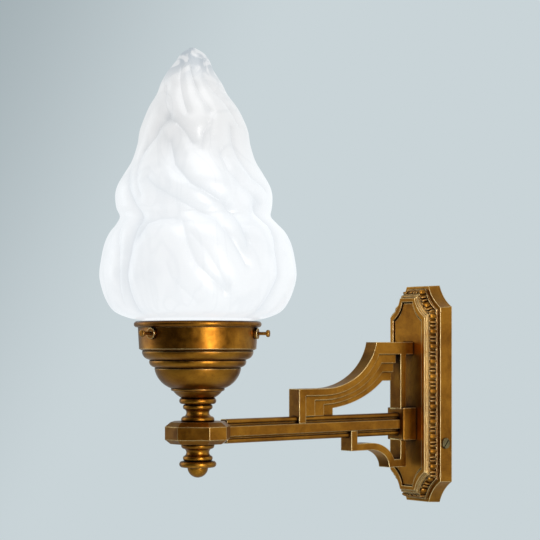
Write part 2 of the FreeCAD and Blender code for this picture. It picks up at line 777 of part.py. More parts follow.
def upper_pocket(step, thickness, end_reach):
    """Space under arch curve number step, down to the arm's top rail."""
    rail_top = arm_height + rail_height / 2
    start_reach = post_reach - post_width - step * step_column
    top = arm_height + top_bar_rise - top_bar_thickness - step * step_bar_height
    room = box(Vec(-thickness / 2, -start_reach, rail_top),
               Vec(thickness / 2, -end_reach, top))
    room = room.cut(upper_curve(step, 2 * thickness))
    if start_reach <= arch_centre_reach:
        return room
    flat_top = (arm_height + arch_centre_rise - arch_half_height - arch_band_height
                - step * step_height)
    return room.cut(box(Vec(-thickness, -start_reach - past, flat_top),
                        Vec(thickness, -arch_centre_reach, top + past)))


def make_upper_bracket():
    """Openwork bracket above the arm: post, arch, stepped ribs, bar and upright."""
    rail_top = arm_height + rail_height / 2
    band_top = arm_height + band_height / 2
    top = arm_height + top_bar_rise
    half = bar_thickness / 2
    blank = box(Vec(-half, -post_reach, rail_top), Vec(half, -(boss_front - upright_depth), top))
    post_top = arm_height + arch_centre_rise - arch_half_height
    above_post = box(Vec(-bar_thickness, -post_reach - past, post_top),
                     Vec(bar_thickness, -arch_centre_reach, top + past))
    blank = cut_all(blank, [above_post, upper_curve(-1, 2 * bar_thickness)])
    deep = 2 * bar_thickness
    for step in range(step_count):
        end_reach = boss_front
        for side in (1, -1):
            pocket = upper_pocket(step, deep, end_reach)
            pocket.translate(Vec(side * (deep / 2 + half - (step + 1) * step_depth), 0, 0))
            blank = blank.cut(pocket)
    blank = blank.cut(upper_pocket(step_count, deep, boss_front))
    slot_top = top - top_bar_thickness
    for step in range(step_count):
        rib_end = boss_front + step_end_gap + step * step_end_setback
        slot = box(Vec(-deep / 2, -rib_end, slot_top - (step + 1) * step_bar_height),
                   Vec(deep / 2, -boss_front, slot_top - step * step_bar_height))
        blank = blank.cut(slot)
    post_foot = box(Vec(-half, -post_reach, band_top),
                    Vec(half, -(post_reach - post_width), rail_top + past))
    tail = box(Vec(-half, -(boss_front - upright_depth), top - top_bar_thickness),
               Vec(half, -panel_front, top))
    bracket = fuse_all([blank, post_foot, tail])
    screw_start = Vec(0, -panel_front, top - top_bar_thickness / 2)
    bracket = bracket.cut(cylinder(screw_start, -Y_AXIS, bar_screw_diameter / 2, bar_screw_grip))
    return cut_all(bracket, [make_arm_bar(), boss_block()])


def make_lower_bracket():
    """Small bracket below the arm."""
    band_bottom = arm_height - band_height / 2
    half = bar_thickness / 2
    floor = arm_height - lower_centre_drop
    rear = boss_front - upright_depth
    blank = box(Vec(-half, -lower_post_reach, floor), Vec(half, -rear, band_bottom))
    outer = ellipse_bar(lower_centre_reach, floor, lower_half_length, lower_half_height,
                        4 * half)
    below_post = box(Vec(-2 * half, -lower_post_reach - past, floor - past),
                     Vec(2 * half, -lower_centre_reach, arm_height - lower_post_drop))
    blank = cut_all(blank, [outer, below_post])
    inner_start = lower_post_reach - lower_post_width
    room = box(Vec(-2 * half, -inner_start, floor + lower_bar_thickness),
               Vec(2 * half, -boss_front, band_bottom + past))
    inner = ellipse_bar(lower_centre_reach, floor, lower_half_length + lower_band_length,
                        lower_half_height + lower_band_height, 5 * half)
    under_flat = box(Vec(-3 * half, -inner_start - past, floor),
                     Vec(3 * half, -lower_centre_reach,
                         floor + lower_half_height + lower_band_height))
    room = cut_all(room, [inner, under_flat])
    return cut_all(blank, [room, make_arm_bar(), boss_block()])


def boss_block():
    block = box(Vec(-boss_width / 2, -boss_front, arm_height - boss_height / 2),
                Vec(boss_width / 2, -panel_front, arm_height + boss_height / 2))
    return fillet_edges(block, boss_edge,
                        lambda edge: abs(edge.CenterOfMass.y + boss_front) < touching)


def make_boss():
    boss = boss_block()
    boss = boss.cut(cylinder(Vec(0, -boss_front - past, arm_height), Y_AXIS, wire_bore / 2,
                             boss_front))
    for height, diameter, head, head_thickness, grip in fixing_screw_places()[:2]:
        start = Vec(0, -panel_front, height)
        boss = boss.cut(cylinder(start, -Y_AXIS, diameter / 2, grip))
    return boss


def make_plate_screw(height, diameter, head, head_thickness, grip):
    """Slotted screw from inside the plate into the boss or the top bar."""
    seat = cavity_front - screw_washer_thickness
    head_base = Vec(0, -(seat - head_thickness), height)
    length = panel_front + grip - seat
    screw = fuse_all([cylinder(head_base, -Y_AXIS, head / 2, head_thickness),
                      cylinder(Vec(0, -seat, height), -Y_AXIS, diameter / 2, length)])
    slot = box(Vec(-head, -(seat - head_thickness + screw_slot_depth),
                   height - screw_slot_width / 2),
               Vec(head, -(seat - head_thickness) + past, height + screw_slot_width / 2))
    return screw.cut(slot)


def make_boss_screws():
    return Part.makeCompound([make_plate_screw(*place) for place in fixing_screw_places()[:2]])


def make_bar_screw():
    return make_plate_screw(*fixing_screw_places()[2])


def make_screw_washers():
    """One washer under each of the three heads."""
    washers = []
    for height, diameter, head, head_thickness, grip in fixing_screw_places():
        base = Vec(0, -cavity_front, height)
        washers.append(tube(base, Y_AXIS, (head + screw_washer_extra) / 2,
                            diameter / 2 + fixing_clearance, screw_washer_thickness))
    return Part.makeCompound(washers)


# ------------------------------------------------------------------ hub, stem

def octagon(half_across, z):
    """Octagonal outline with four short and four long sides."""
    inset = hub_half - half_across
    short = hub_short_face / 2 - inset * math.tan(math.pi / 8)
    points = [(half_across, -short), (half_across, short), (short, half_across),
              (-short, half_across), (-half_across, short), (-half_across, -short),
              (-short, -half_across), (short, -half_across), (half_across, -short)]
    return Part.makePolygon([Vec(x, axis_y + y, z) for x, y in points])


def make_hub_block():
    low_side = hub_bottom + hub_chamfer_rise
    high_side = hub_top - hub_chamfer_rise
    inset_half = hub_half - hub_chamfer_inset
    hub = fuse_all([Part.makeLoft([octagon(inset_half, hub_bottom), octagon(hub_half, low_side)],
                                  True, True),
                    Part.makeLoft([octagon(hub_half, low_side), octagon(hub_half, high_side)],
                                  True, True),
                    Part.makeLoft([octagon(hub_half, high_side), octagon(inset_half, hub_top)],
                                  True, True)])
    cavity = cylinder(Vec(0, axis_y, hub_bottom + hub_wall), Z_AXIS, hub_cavity_diameter / 2,
                      hub_height - 2 * hub_wall)
    nipple_hole = cylinder(Vec(0, axis_y, hub_bottom - past), Z_AXIS, nipple_diameter / 2,
                           hub_height + 2 * past)
    wire_hole = cylinder(Vec(0, axis_y, arm_height), Y_AXIS, wire_bore / 2, hub_across)
    return cut_all(hub, [cavity, nipple_hole, wire_hole])


def collar_profile():
    """Outline of the upper collar, from its seat on the hub upwards."""
    bore = nipple_diameter / 2
    foot_top = collar_foot_height
    neck_top = foot_top + collar_neck_height
    bead_top = neck_top + collar_bead_height
    groove_top = bead_top + collar_groove_height
    flange_top = groove_top + collar_flange_height
    foot_edge = collar_foot_radius - collar_foot_edge
    foot_shoulder = collar_neck_radius + collar_neck_flare
    bead_edge = collar_bead_radius - collar_bead_edge
    flange_edge = collar_flange_radius - collar_flange_edge
    edges = polyline([(bore, flange_top), (bore, 0), (foot_edge, 0)])
    edges.append(arc((foot_edge, 0), (collar_foot_radius, foot_top * collar_foot_swell),
                     (foot_shoulder, foot_top)))
    edges.append(arc((foot_shoulder, foot_top),
                     (collar_neck_radius, (foot_top + neck_top) / 2),
                     (foot_shoulder, neck_top)))
    edges += polyline([(foot_shoulder, neck_top), (bead_edge, neck_top)])
    edges.append(arc((bead_edge, neck_top), (collar_bead_radius, (neck_top + bead_top) / 2),
                     (bead_edge, bead_top)))
    edges += polyline([(bead_edge, bead_top), (collar_groove_radius, bead_top),
                       (collar_groove_radius, groove_top), (flange_edge, groove_top)])
    edges.append(arc((flange_edge, groove_top),
                     (collar_flange_radius, (groove_top + flange_top) / 2),
                     (flange_edge, flange_top)))
    edges += polyline([(flange_edge, flange_top), (bore, flange_top)])
    return edges


def make_upper_collar():
    return revolve_profile(collar_profile(), Vec(0, axis_y, hub_top))


def make_lower_collar():
    collar = revolve_profile(collar_profile(), Vec(0, 0, 0))
    collar.rotate(Vec(0, 0, 0), X_AXIS, 180)
    collar.translate(Vec(0, axis_y, hub_bottom))
    return collar


def make_ball_finial():
    """Ball nut that closes the lower stem."""
    flange_face = hub_bottom - collar_height
    ball = Part.makeSphere(finial_radius, Vec(0, axis_y, flange_face - finial_sink))
    above = box(Vec(-reach, axis_y - reach, flange_face), Vec(reach, axis_y + reach, hub_top))
    bore = cylinder(Vec(0, axis_y, flange_face - finial_radius / 2), Z_AXIS,
                    nipple_diameter / 2, finial_radius)
    return cut_all(ball, [above, bore])


def make_upper_nipple():
    """Threaded tube from the hub through the collar to the lampholder."""
    base = hub_top - hub_wall
    return tube(Vec(0, axis_y, base), Z_AXIS, nipple_diameter / 2, nipple_bore / 2,
                holder_base + 2 * holder_cap_wall - base)


def make_lower_nipple():
    """Threaded tube from the hub through the lower collar into the ball."""
    low = hub_bottom - collar_height - finial_radius / 2
    return tube(Vec(0, axis_y, low), Z_AXIS, nipple_diameter / 2, nipple_bore / 2,
                hub_bottom + hub_wall - low)


# -------------------------------------------------------------------- gallery

def gallery_outline(wall, top):
    """Closed outline of the cup below its lip, drawn in by wall for the inside.

    Heights are above the gallery's seat."""
    mouth = gallery_mouth_radius - wall
    here = (gallery_floor_radius - wall, wall)
    edges = polyline([(0, wall), here])
    for step in gallery_profile:
        there = (step[-2] - wall, step[-1] + wall * gallery_wall_lift)
        if len(step) > 2:
            middle = (step[0] - wall, step[1] + wall * gallery_wall_lift)
            edges.append(arc(here, middle, there))
        else:
            edges += polyline([here, there])
        here = there
    band_top = gallery_height - 2 * gallery_lip_radius
    return edges + polyline([here, (mouth, band_top), (mouth, top), (0, top), (0, wall)])


def make_gallery_cup():
    """Spun brass cup with a rolled lip, pierced for the nipple and the screws."""
    lip_centre = gallery_height - gallery_lip_radius
    seat = Vec(0, axis_y, gallery_seat)
    cup = revolve_profile(gallery_outline(0.0, lip_centre), seat)
    lip = Part.makeTorus(gallery_lip_reach - gallery_lip_radius, gallery_lip_radius,
                         seat + Vec(0, 0, lip_centre))
    inside = revolve_profile(gallery_outline(gallery_wall, gallery_height + past), seat)
    cup = cup.fuse(lip).cut(inside).removeSplitter()
    hole_radius = nipple_diameter / 2 + fixing_clearance
    cup = cup.cut(cylinder(seat - Z_AXIS * past, Z_AXIS, hole_radius, gallery_wall + 2 * past))
    for angle in thumb_screw_angles():
        drill = cylinder(Vec(0, 0, 0), X_AXIS, thumb_screw_diameter / 2 + running_clearance,
                         2 * gallery_mouth_radius)
        cup = cup.cut(place_screw(drill, angle))
    return cup


def thumb_screw_angles():
    return [thumb_screw_first_angle + k * 360.0 / thumb_screw_count
            for k in range(thumb_screw_count)]


def place_screw(shape, angle):
    """Turn a shape drawn along +X to a screw's place on the gallery."""
    placed = shape.copy()
    placed.rotate(Vec(0, 0, 0), Z_AXIS, angle)
    placed.translate(Vec(0, axis_y, thumb_screw_height))
    return placed


def band_radius():
    """Outside of the gallery where the thumb screws pass."""
    return gallery_mouth_radius - bush_sink


def make_screw_bushes():
    """Threaded bushes brazed on the gallery, one per thumb screw."""
    face = band_radius()
    bush = tube(Vec(face, 0, 0), X_AXIS, bush_diameter / 2,
                thumb_screw_diameter / 2 + running_clearance, bush_thickness)
    cup = Part.makeCylinder(gallery_mouth_radius, bush_diameter * 2,
                            Vec(0, 0, -bush_diameter), Z_AXIS)
    bush = bush.cut(cup)
    return Part.makeCompound([place_screw(bush, angle) for angle in thumb_screw_angles()])


def make_thumb_screw(angle):
    """Slim screw with a small turned head; its tip stops just off the glass."""
    tip = neck_radius + loose_clearance
    head_base = band_radius() + bush_thickness + thumb_screw_shank
    shank = cylinder(Vec(tip, 0, 0), X_AXIS, thumb_screw_diameter / 2, head_base - tip)
    head = cylinder(Vec(head_base, 0, 0), X_AXIS, thumb_screw_head / 2,
                    thumb_screw_head_thickness)
    head = fillet_edges(head, thumb_screw_head_edge,
                        lambda edge: edge.Curve.TypeId == "Part::GeomCircle")
    return place_screw(fuse_all([head, shank]), angle)


# ---------------------------------------------------------------- lampholder

def make_lock_nut():
    base = Vec(0, axis_y, nut_base)
    nut = hexagon(lock_nut_across, lock_nut_thickness, base, Z_AXIS)
    return nut.cut(cylinder(base, Z_AXIS, nipple_diameter / 2, lock_nut_thickness))


def cap_outline(wall):
    """Domed lampholder cap; heights above its base."""
    top = holder_cap_height
    foot = holder_cap_foot_radius - wall
    side = holder_radius - wall
    return ([Part.LineSegment(Vec(0, 0, wall), Vec(foot, 0, wall)).toShape(),
             arc((foot, wall), (side - holder_cap_bulge, top * holder_cap_bulge_rise + wall / 2),
                 (side, top)),
             Part.LineSegment(Vec(side, 0, top), Vec(0, 0, top)).toShape(),
             Part.LineSegment(Vec(0, 0, top), Vec(0, 0, wall)).toShape()])


def make_holder_cap():
    base = Vec(0, axis_y, holder_base)
    cap = revolve_profile(cap_outline(0.0), base)
    cap = cap.cut(revolve_profile(cap_outline(holder_cap_wall), base))
    return cap.cut(cylinder(base - Z_AXIS * past, Z_AXIS, nipple_diameter / 2,
                            holder_cap_wall + 2 * past))


def make_holder_shell():
    """Outer sleeve of the lampholder with a turned-in top edge."""
    base = Vec(0, axis_y, shell_base)
    shell = tube(base, Z_AXIS, holder_radius, holder_radius - holder_shell_wall,
                 holder_shell_height)
    lip = tube(Vec(0, axis_y, shell_top - holder_shell_wall), Z_AXIS, holder_radius,
               holder_radius - holder_lip_width, holder_shell_wall)
    return fuse_all([shell, lip])


def make_holder_core():
    """Porcelain block that carries the contacts, and the wall round the sleeve."""
    outer = holder_radius - holder_shell_wall - fixing_clearance
    base = Vec(0, axis_y, shell_base)
    block = cylinder(base, Z_AXIS, outer, holder_core_thickness)
    wall_top = shell_top - holder_shell_wall
    wall = tube(Vec(0, axis_y, core_top), Z_AXIS, outer, thread_sleeve_radius,
                wall_top - core_top)
    core = fuse_all([block, wall])
    for side in (1, -1):
        core = core.cut(cylinder(Vec(side * core_hole_offset, axis_y, shell_base - past), Z_AXIS,
                                 core_hole_radius, holder_core_thickness + 2 * past))
    return core


def make_thread_sleeve():
    """Threaded brass sleeve that the bulb screws into."""
    return tube(Vec(0, axis_y, core_top), Z_AXIS, thread_sleeve_radius,
                thread_sleeve_radius - thread_sleeve_wall, thread_sleeve_height)


def make_centre_contact():
    return cylinder(Vec(0, axis_y, core_top), Z_AXIS, contact_radius, contact_thickness)


# ----------------------------------------------------------------------- bulb

def bulb_profile(wall):
    """Bulb outline above the cap's lower edge, drawn in by wall."""
    neck = bulb_neck_radius - wall
    round_radius = bulb_radius - wall
    base = bulb_cap_height
    foot = base - bulb_glass_overlap + wall
    shoulder = base + bulb_shoulder_rise
    crown = bulb_length - bulb_contact_height - bulb_insulator_height - wall
    centre = crown - round_radius
    cap_fit = bulb_cap_radius - bulb_cap_wall - wall
    low = math.radians(bulb_round_low)
    high = math.radians(bulb_round_high)
    join = (round_radius * math.cos(low), centre - round_radius * math.sin(low))
    flare = ((neck + join[0]) / 2 - bulb_flare_in, (shoulder + join[1]) / 2 + bulb_flare_up)
    edges = polyline([(0, foot), (cap_fit, foot), (cap_fit, base), (neck, shoulder)])
    edges.append(arc((neck, shoulder), flare, join))
    edges.append(arc(join, (round_radius * math.cos(high), centre + round_radius * math.sin(high)),
                     (0, crown)))
    return edges + polyline([(0, crown), (0, foot)])


def make_bulb_glass():
    base = Vec(0, axis_y, bulb_cap_base)
    return revolve_profile(bulb_profile(0.0), base).cut(
        revolve_profile(bulb_profile(bulb_glass_wall), base))


def make_bulb_cap():
    """Threaded metal cap, closed at its foot round the insulator."""
    base = Vec(0, axis_y, bulb_cap_base)
    cap = tube(base, Z_AXIS, bulb_cap_radius, bulb_cap_radius - bulb_cap_wall, bulb_cap_height)
    floor = tube(base, Z_AXIS, bulb_cap_radius, bulb_cap_radius - 2 * bulb_insulator_edge,
                 bulb_cap_wall)
    return fuse_all([cap, floor])


def make_bulb_insulator():
    low = bulb_cap_base - bulb_insulator_height
    return Part.makeCone(bulb_contact_radius + bulb_insulator_edge,
                         bulb_cap_radius - bulb_insulator_edge, bulb_insulator_height,
                         Vec(0, axis_y, low), Z_AXIS)


def make_bulb_contact():
    low = bulb_cap_base - bulb_insulator_height - bulb_contact_height
    return cylinder(Vec(0, axis_y, low), Z_AXIS, bulb_contact_radius, bulb_contact_height)


def make_bulb_stem():
    """Glass stem that holds the filament."""
    return cylinder(Vec(0, axis_y, stem_base), Z_AXIS, stem_radius, stem_height)


def make_filament():
    """Bent filament wire whose two ends stand on the stem."""
    foot = stem_base + stem_height + filament_wire / 2
    shoulder = foot + filament_rise
    corners = [Vec(-filament_lead_gap, axis_y, foot), Vec(-filament_width / 2, axis_y, shoulder),
               Vec(0, axis_y, shoulder + filament_peak),
               Vec(filament_width / 2, axis_y, shoulder), Vec(filament_lead_gap, axis_y, foot)]
    return round_tube(corners, filament_bend, filament_wire / 2)


# ---------------------------------------------------------------- glass shade

def smooth_value(points, at):
    """Smooth curve through (position, value) points, level beyond both ends."""
    if at <= points[0][0]:
        return points[0][1]
    if at >= points[-1][0]:
        return points[-1][1]
    slopes = []
    for k in range(len(points)):
        low = points[max(k - 1, 0)]
        high = points[min(k + 1, len(points) - 1)]
        slopes.append((high[1] - low[1]) / (high[0] - low[0]))
    for k in range(len(points) - 1):
        x0, y0 = points[k]
        x1, y1 = points[k + 1]
        if at <= x1:
            span = x1 - x0
            t = (at - x0) / span
            return ((2 * t ** 3 - 3 * t ** 2 + 1) * y0 + (t ** 3 - 2 * t ** 2 + t) * span * slopes[k]
                    + (3 * t ** 2 - 2 * t ** 3) * y1 + (t ** 3 - t ** 2) * span * slopes[k + 1])
    return points[-1][1]


def distance_to_path(path, angle, height, radius):
    """Distance over the glass from a point to a fold's path."""
    best = 1e9
    for (a0, h0), (a1, h1) in zip(path, path[1:]):
        x0 = math.radians(a0 - angle) * radius
        x1 = math.radians(a1 - angle) * radius
        dx = x1 - x0
        dz = h1 - h0
        along = -(x0 * dx + (h0 - height) * dz) / (dx * dx + dz * dz)
        along = min(1.0, max(0.0, along))
        best = min(best, math.hypot(x0 + dx * along, h0 + dz * along - height))
    return best


def fold_depth(angle, height, radius):
    """How far the folds press the glass in at one point."""
    sector = 360.0 / fold_symmetry
    depth = 0.0
    for deepest, half_width_of_fold, path in flame_folds:
        for turn in range(-fold_turns, fold_turns + 1):
            away = distance_to_path(path, angle + turn * sector, height, radius)
            depth += deepest * math.exp(-(away / (half_width_of_fold * fold_softness)) ** 2)
    return min(depth, fold_limit) * min(1.0, radius / fold_fade_radius)


def flame_row(height):
    """Control points round the flame at one height above its shoulder."""
    radius = smooth_value(flame_outline, height)
    lean = smooth_value(flame_lean, height)
    sideways = math.radians(fold_reference_angle + 90)
    centre_x = lean * math.cos(sideways)
    centre_y = axis_y + lean * math.sin(sideways)
    points = []
    for k in range(points_per_row):
        turn = 360.0 * k / points_per_row
        fold_angle = (turn - fold_reference_angle + 180.0) % 360.0 - 180.0
        r = radius - fold_depth(fold_angle, height, radius)
        points.append(Vec(centre_x + r * math.cos(math.radians(turn)),
                          centre_y + r * math.sin(math.radians(turn)),
                          shade_shoulder + height))
    return points


def flame_heights():
    """Row heights, closer together near the shoulder and the tip."""
    heights = []
    for k in range(shade_rows):
        t = k / (shade_rows - 1)
        eased = t - row_easing * math.sin(2 * math.pi * t) / 2
        heights.append(shade_height * eased)
    return heights


def flame_body():
    """Solid flame: one smooth closed surface with a flat foot and tip."""
    rows = [flame_row(height) for height in flame_heights()]
    poles = [[row[k] for row in rows] for k in range(points_per_row)]
    round_knots = list(range(points_per_row + 1))
    up_knots = list(range(shade_rows - 2))
    up_counts = [4] + [1] * (shade_rows - 4) + [4]
    skin = Part.BSplineSurface()
    skin.buildFromPolesMultsKnots(poles, [1] * (points_per_row + 1), up_counts, round_knots,
                                  up_knots, True, False, 3, 3)
    side = skin.toShape()
    caps = [Part.Face(Part.Wire([edge])) for edge in side.Edges
            if edge.BoundBox.ZLength < touching]
    shell = Part.Shell([side] + caps)
    shell.sewShape()
    return Part.Solid(shell)


def shade_hollow():
    """Room inside the flame, open at its shoulder."""
    top = shade_height - tip_solid
    outline = [Vec(neck_inner, 0, 0)]
    for height in hollow_levels:
        radius = smooth_value(flame_outline, height) - hollow_margin * glass_wall
        outline.append(Vec(max(radius, tip_hollow_radius), 0, height))
    side = Part.BSplineCurve()
    side.interpolate(outline)
    edges = [side.toShape()]
    edges += polyline([(outline[-1].x, outline[-1].z), (0, top), (0, -past),
                       (neck_inner, -past), (neck_inner, 0)])
    return revolve_profile(edges, Vec(0, axis_y, shade_shoulder))


def make_flame_shade():
    """Blown flame glass: hollow body with a solid tip."""
    return flame_body().cut(shade_hollow())


def make_shade_neck():
    """Straight fitter neck that stands on the flame's shoulder."""
    base = Vec(0, axis_y, shade_shoulder - neck_height)
    return tube(base, Z_AXIS, neck_radius, neck_inner, neck_height)


# --------------------------------------------------------------------- export

def main():
    os.makedirs("parts", exist_ok=True)
    export("backplate", make_backplate())
    export("wall_strap", make_wall_strap())
    export("cable_grommet", make_cable_grommet())
    export("earth_stud", make_earth_stud())
    export("earth_nut", make_earth_nut())
    export("earth_washer", make_earth_washer())
    export("side_screws", make_side_screws())
    export("terminal_block", make_terminal_block())
    export("terminal_screws", make_terminal_screws())
    export("live_wire", make_wire(1))
    export("neutral_wire", make_wire(-1))
    export("boss", make_boss())
    export("boss_screws", make_boss_screws())
    export("bar_screw", make_bar_screw())
    export("screw_washers", make_screw_washers())
    export("arm_bar", make_arm_bar())
    export("upper_bracket", make_upper_bracket())
    export("lower_bracket", make_lower_bracket())
    export("hub_block", make_hub_block())
    export("upper_collar", make_upper_collar())
    export("lower_collar", make_lower_collar())
    export("ball_finial", make_ball_finial())
    export("upper_nipple", make_upper_nipple())
    export("lower_nipple", make_lower_nipple())
    export("gallery_cup", make_gallery_cup())
    export("screw_bushes", make_screw_bushes())
    for number, angle in enumerate(thumb_screw_angles(), 1):
        export("thumb_screw_" + str(number), make_thumb_screw(angle))
    export("lock_nut", make_lock_nut())
    export("lampholder_cap", make_holder_cap())
    export("lampholder_shell", make_holder_shell())
    export("lampholder_core", make_holder_core())
    export("thread_sleeve", make_thread_sleeve())
    export("centre_contact", make_centre_contact())
    export("bulb_glass", make_bulb_glass())
    export("bulb_cap", make_bulb_cap())
    export("bulb_insulator", make_bulb_insulator())
    export("bulb_contact", make_bulb_contact())
    export("bulb_stem", make_bulb_stem())
    export("bulb_filament", make_filament())
    export("flame_shade", make_flame_shade())
    export("shade_neck", make_shade_neck())


main()
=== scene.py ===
import math

import bpy
import numpy as np
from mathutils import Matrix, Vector


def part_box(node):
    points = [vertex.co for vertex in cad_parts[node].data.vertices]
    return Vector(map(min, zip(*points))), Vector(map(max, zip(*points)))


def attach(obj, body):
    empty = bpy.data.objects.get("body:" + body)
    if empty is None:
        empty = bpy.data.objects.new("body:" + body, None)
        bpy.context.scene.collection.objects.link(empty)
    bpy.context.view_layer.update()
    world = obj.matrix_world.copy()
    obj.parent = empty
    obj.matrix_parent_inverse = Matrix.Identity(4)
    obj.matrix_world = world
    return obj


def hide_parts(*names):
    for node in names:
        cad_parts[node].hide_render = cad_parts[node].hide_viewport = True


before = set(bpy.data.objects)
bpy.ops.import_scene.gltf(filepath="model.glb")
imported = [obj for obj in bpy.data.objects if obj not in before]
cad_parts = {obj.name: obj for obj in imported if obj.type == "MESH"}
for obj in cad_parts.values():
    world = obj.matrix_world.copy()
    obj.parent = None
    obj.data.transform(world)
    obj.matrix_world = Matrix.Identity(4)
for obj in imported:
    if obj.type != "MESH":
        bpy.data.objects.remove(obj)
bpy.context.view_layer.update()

# Looks of the torch sconce. Metres, +Z up, the wall plane is Y = 0.
# Lengths of the lamp are written in millimetres and multiplied by MM.

MM = 0.001

# ---- places read from the frame ----
shade_low, shade_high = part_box("flame_shade")
plate_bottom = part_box("backplate")[0].z
hub_low, hub_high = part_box("hub_block")
axis_y = (hub_low.y + hub_high.y) / 2

# ---- the camera, found from the photograph ----
view_azimuth = 50.0            # degrees round from the front
view_distance = 1325.15 * MM   # from the origin, along the view
view_side = -131.02 * MM       # sideways from the origin
view_height = 40.1 * MM
view_lens = 106.67             # millimetres, on the sensor below
sensor_width = 36.0
photo_size = 540
horizon_row = 345
nearest_seen = 0.05
farthest_seen = 20.0

# ---- flame, as in the solid, in millimetres ----
neck_radius = 40.0
neck_height = 18.6
glass_wall = 3.2
shade_height = 199.0
hollow_margin = 3.3            # as a share of the glass wall
hollow_least_radius = 6.0
neck_skin = 0.05               # the skin lies this far inside the neck
shoulder_gap = 0.6
row_easing = 1.05
tip_rise = 0.02
flame_round_steps = 432
flame_rise_steps = 330
hollow_rise_steps = 60
neck_outer_steps = 12
neck_inner_steps = 6
fold_reference_angle = -37.4
fold_symmetry = 2
fold_turns = 2                 # repeats looked at each way round
fold_limit = 5.2
fold_fade_radius = 26.0
fold_full = 5.0                # the depth that the glass material counts as a full fold
valley_share = 0.62
valley_spread = 1.35
crease_share = 0.42
crease_spread = 0.38

# Height above the shoulder, radius.
flame_outline = [
    (0.0, 42.0), (1.6, 50.5), (6.0, 60.5), (14.0, 66.6), (24.0, 70.4),
    (33.0, 72.0), (45.0, 70.6), (56.0, 68.0), (64.0, 64.0), (70.0, 58.8),
    (75.5, 55.2), (82.0, 56.8), (91.0, 57.4), (98.0, 55.6), (107.0, 50.5),
    (116.0, 45.2), (128.0, 41.3), (138.0, 39.6), (148.0, 35.8),
    (156.0, 31.8), (165.0, 25.8), (173.0, 22.3), (182.0, 16.8),
    (190.0, 12.0), (195.0, 8.2), (199.0, 2.0)]

# Height above the shoulder, sideways lean.
flame_lean = [
    (0.0, 0.0), (66.0, 0.0), (82.0, -2.6), (145.0, -2.9), (166.0, -4.2),
    (182.0, -5.0), (190.0, -3.6), (199.0, -4.0)]
hollow_levels = [10.0, 33.0, 56.0, 75.0, 92.0, 116.0, 138.0, 156.0, 168.0]

# Depth, half width, then the path as (angle, height above the shoulder).
flame_folds = [
    (3.0, 5.5, [(-24, 126), (-16, 109), (-2, 95), (22, 81), (29, 72), (31, 52)]),
    (2.6, 5.0, [(-38, 100), (-29, 93), (-12, 84), (13, 69), (19, 58), (28, 38)]),
    (2.4, 4.5, [(-39, 59), (-36, 67), (-27, 70), (-16, 70)]),
    (1.8, 4.0, [(-10, 67), (-6, 52), (-1, 38), (7, 28), (16, 19)]),
    (1.2, 3.5, [(-4, 59), (4, 48), (16, 23)]),
    (1.6, 4.0, [(-18, 38), (-15, 28), (-1, 12)]),
    (3.4, 5.0, [(-44, 66), (-44, 47), (-46, 28), (-45, 6)]),
    (2.0, 4.0, [(-62, 64), (-54, 50), (-52, 34), (-55, 12)]),
    (2.6, 4.5, [(-74, 109), (-58, 97), (-50, 84), (-44, 72)]),
    (1.8, 4.0, [(-60, 115), (-50, 101), (-42, 88)]),
    (3.2, 5.5, [(52, 80), (58, 67), (54, 49), (54, 30), (46, 6)]),
    (2.4, 4.5, [(44, 138), (43, 126), (47, 112), (52, 101), (69, 93)]),
    (2.0, 4.5, [(26, 120), (29, 105), (38, 93), (60, 82)]),
    (2.4, 4.0, [(-58, 121), (-44, 130), (-34, 142)]),
    (2.4, 4.0, [(-30, 143), (-19, 140), (-9, 133), (-2, 125)]),
    (1.6, 3.5, [(7, 120), (10, 132), (16, 139)]),
    (1.8, 3.5, [(-52, 169), (-40, 156), (-30, 146)]),
    (1.6, 3.0, [(-25, 182), (-20, 168), (-8, 148)]),
    (1.6, 3.0, [(-2, 182), (6, 168), (20, 148)]),
    (1.6, 3.0, [(30, 172), (46, 158), (58, 140)])]

# ---- bead row on the plate's sloping band ----
plate_half_width = 26.0
plate_half_height = 88.2
band_side_inset = 4.35
band_end_inset = 4.9
band_depth = 16.9
notch_width = 13.4
notch_height = 17.5
notch_sag = 2.0
notch_width_taper = 0.33
notch_height_taper = 0.2
bead_pitch = 12.0
bead_marks = [(0.0, 4.5), (4.75, 2.1), (7.6, 2.1)]    # place along the pitch, length
bead_radius = 1.5
bead_across = 3.1
bead_fullness = 0.7
bead_rows = 10
bead_sides = 16
band_slope = 0.25
corner_steps = 12

# ---- brass grains: how the noise is stretched, its depth, roughness ----
brass_grains = {
    "cast": ((1, 1, 1), 0.20, 0.40),
    "turned": ((0.01, 0.01, 1), 0.07, 0.35),
    "drawn": ((1, 0.02, 1), 0.12, 0.38)}

# ---- the studio, in metres ----
floor_radius = 1.6
floor_drop = 0.42
floor_sides = 96
backdrop_bright = (0.584, 0.658, 0.686)
backdrop_dull = (0.335, 0.395, 0.420)
room_dark = (0.030, 0.028, 0.025)
softboxes = [                  # name, azimuth, distance, height, size, watts, colour
    ("key_softbox", 72, 1.25, 0.12, (0.30, 0.9), 13.0, (1.0, 0.98, 0.94)),
    ("top_light", 60, 0.5, 1.3, (1.0, 0.8), 10.0, (1.0, 1.0, 1.0)),
    ("wall_side_fill", 130, 1.3, 0.35, (0.8, 1.2), 2.2, (1.0, 1.0, 1.0)),
    ("left_fill", -55, 1.4, 0.35, (0.8, 1.2), 3.6, (0.95, 0.98, 1.0))]


# ------------------------------------------------------------ material helpers

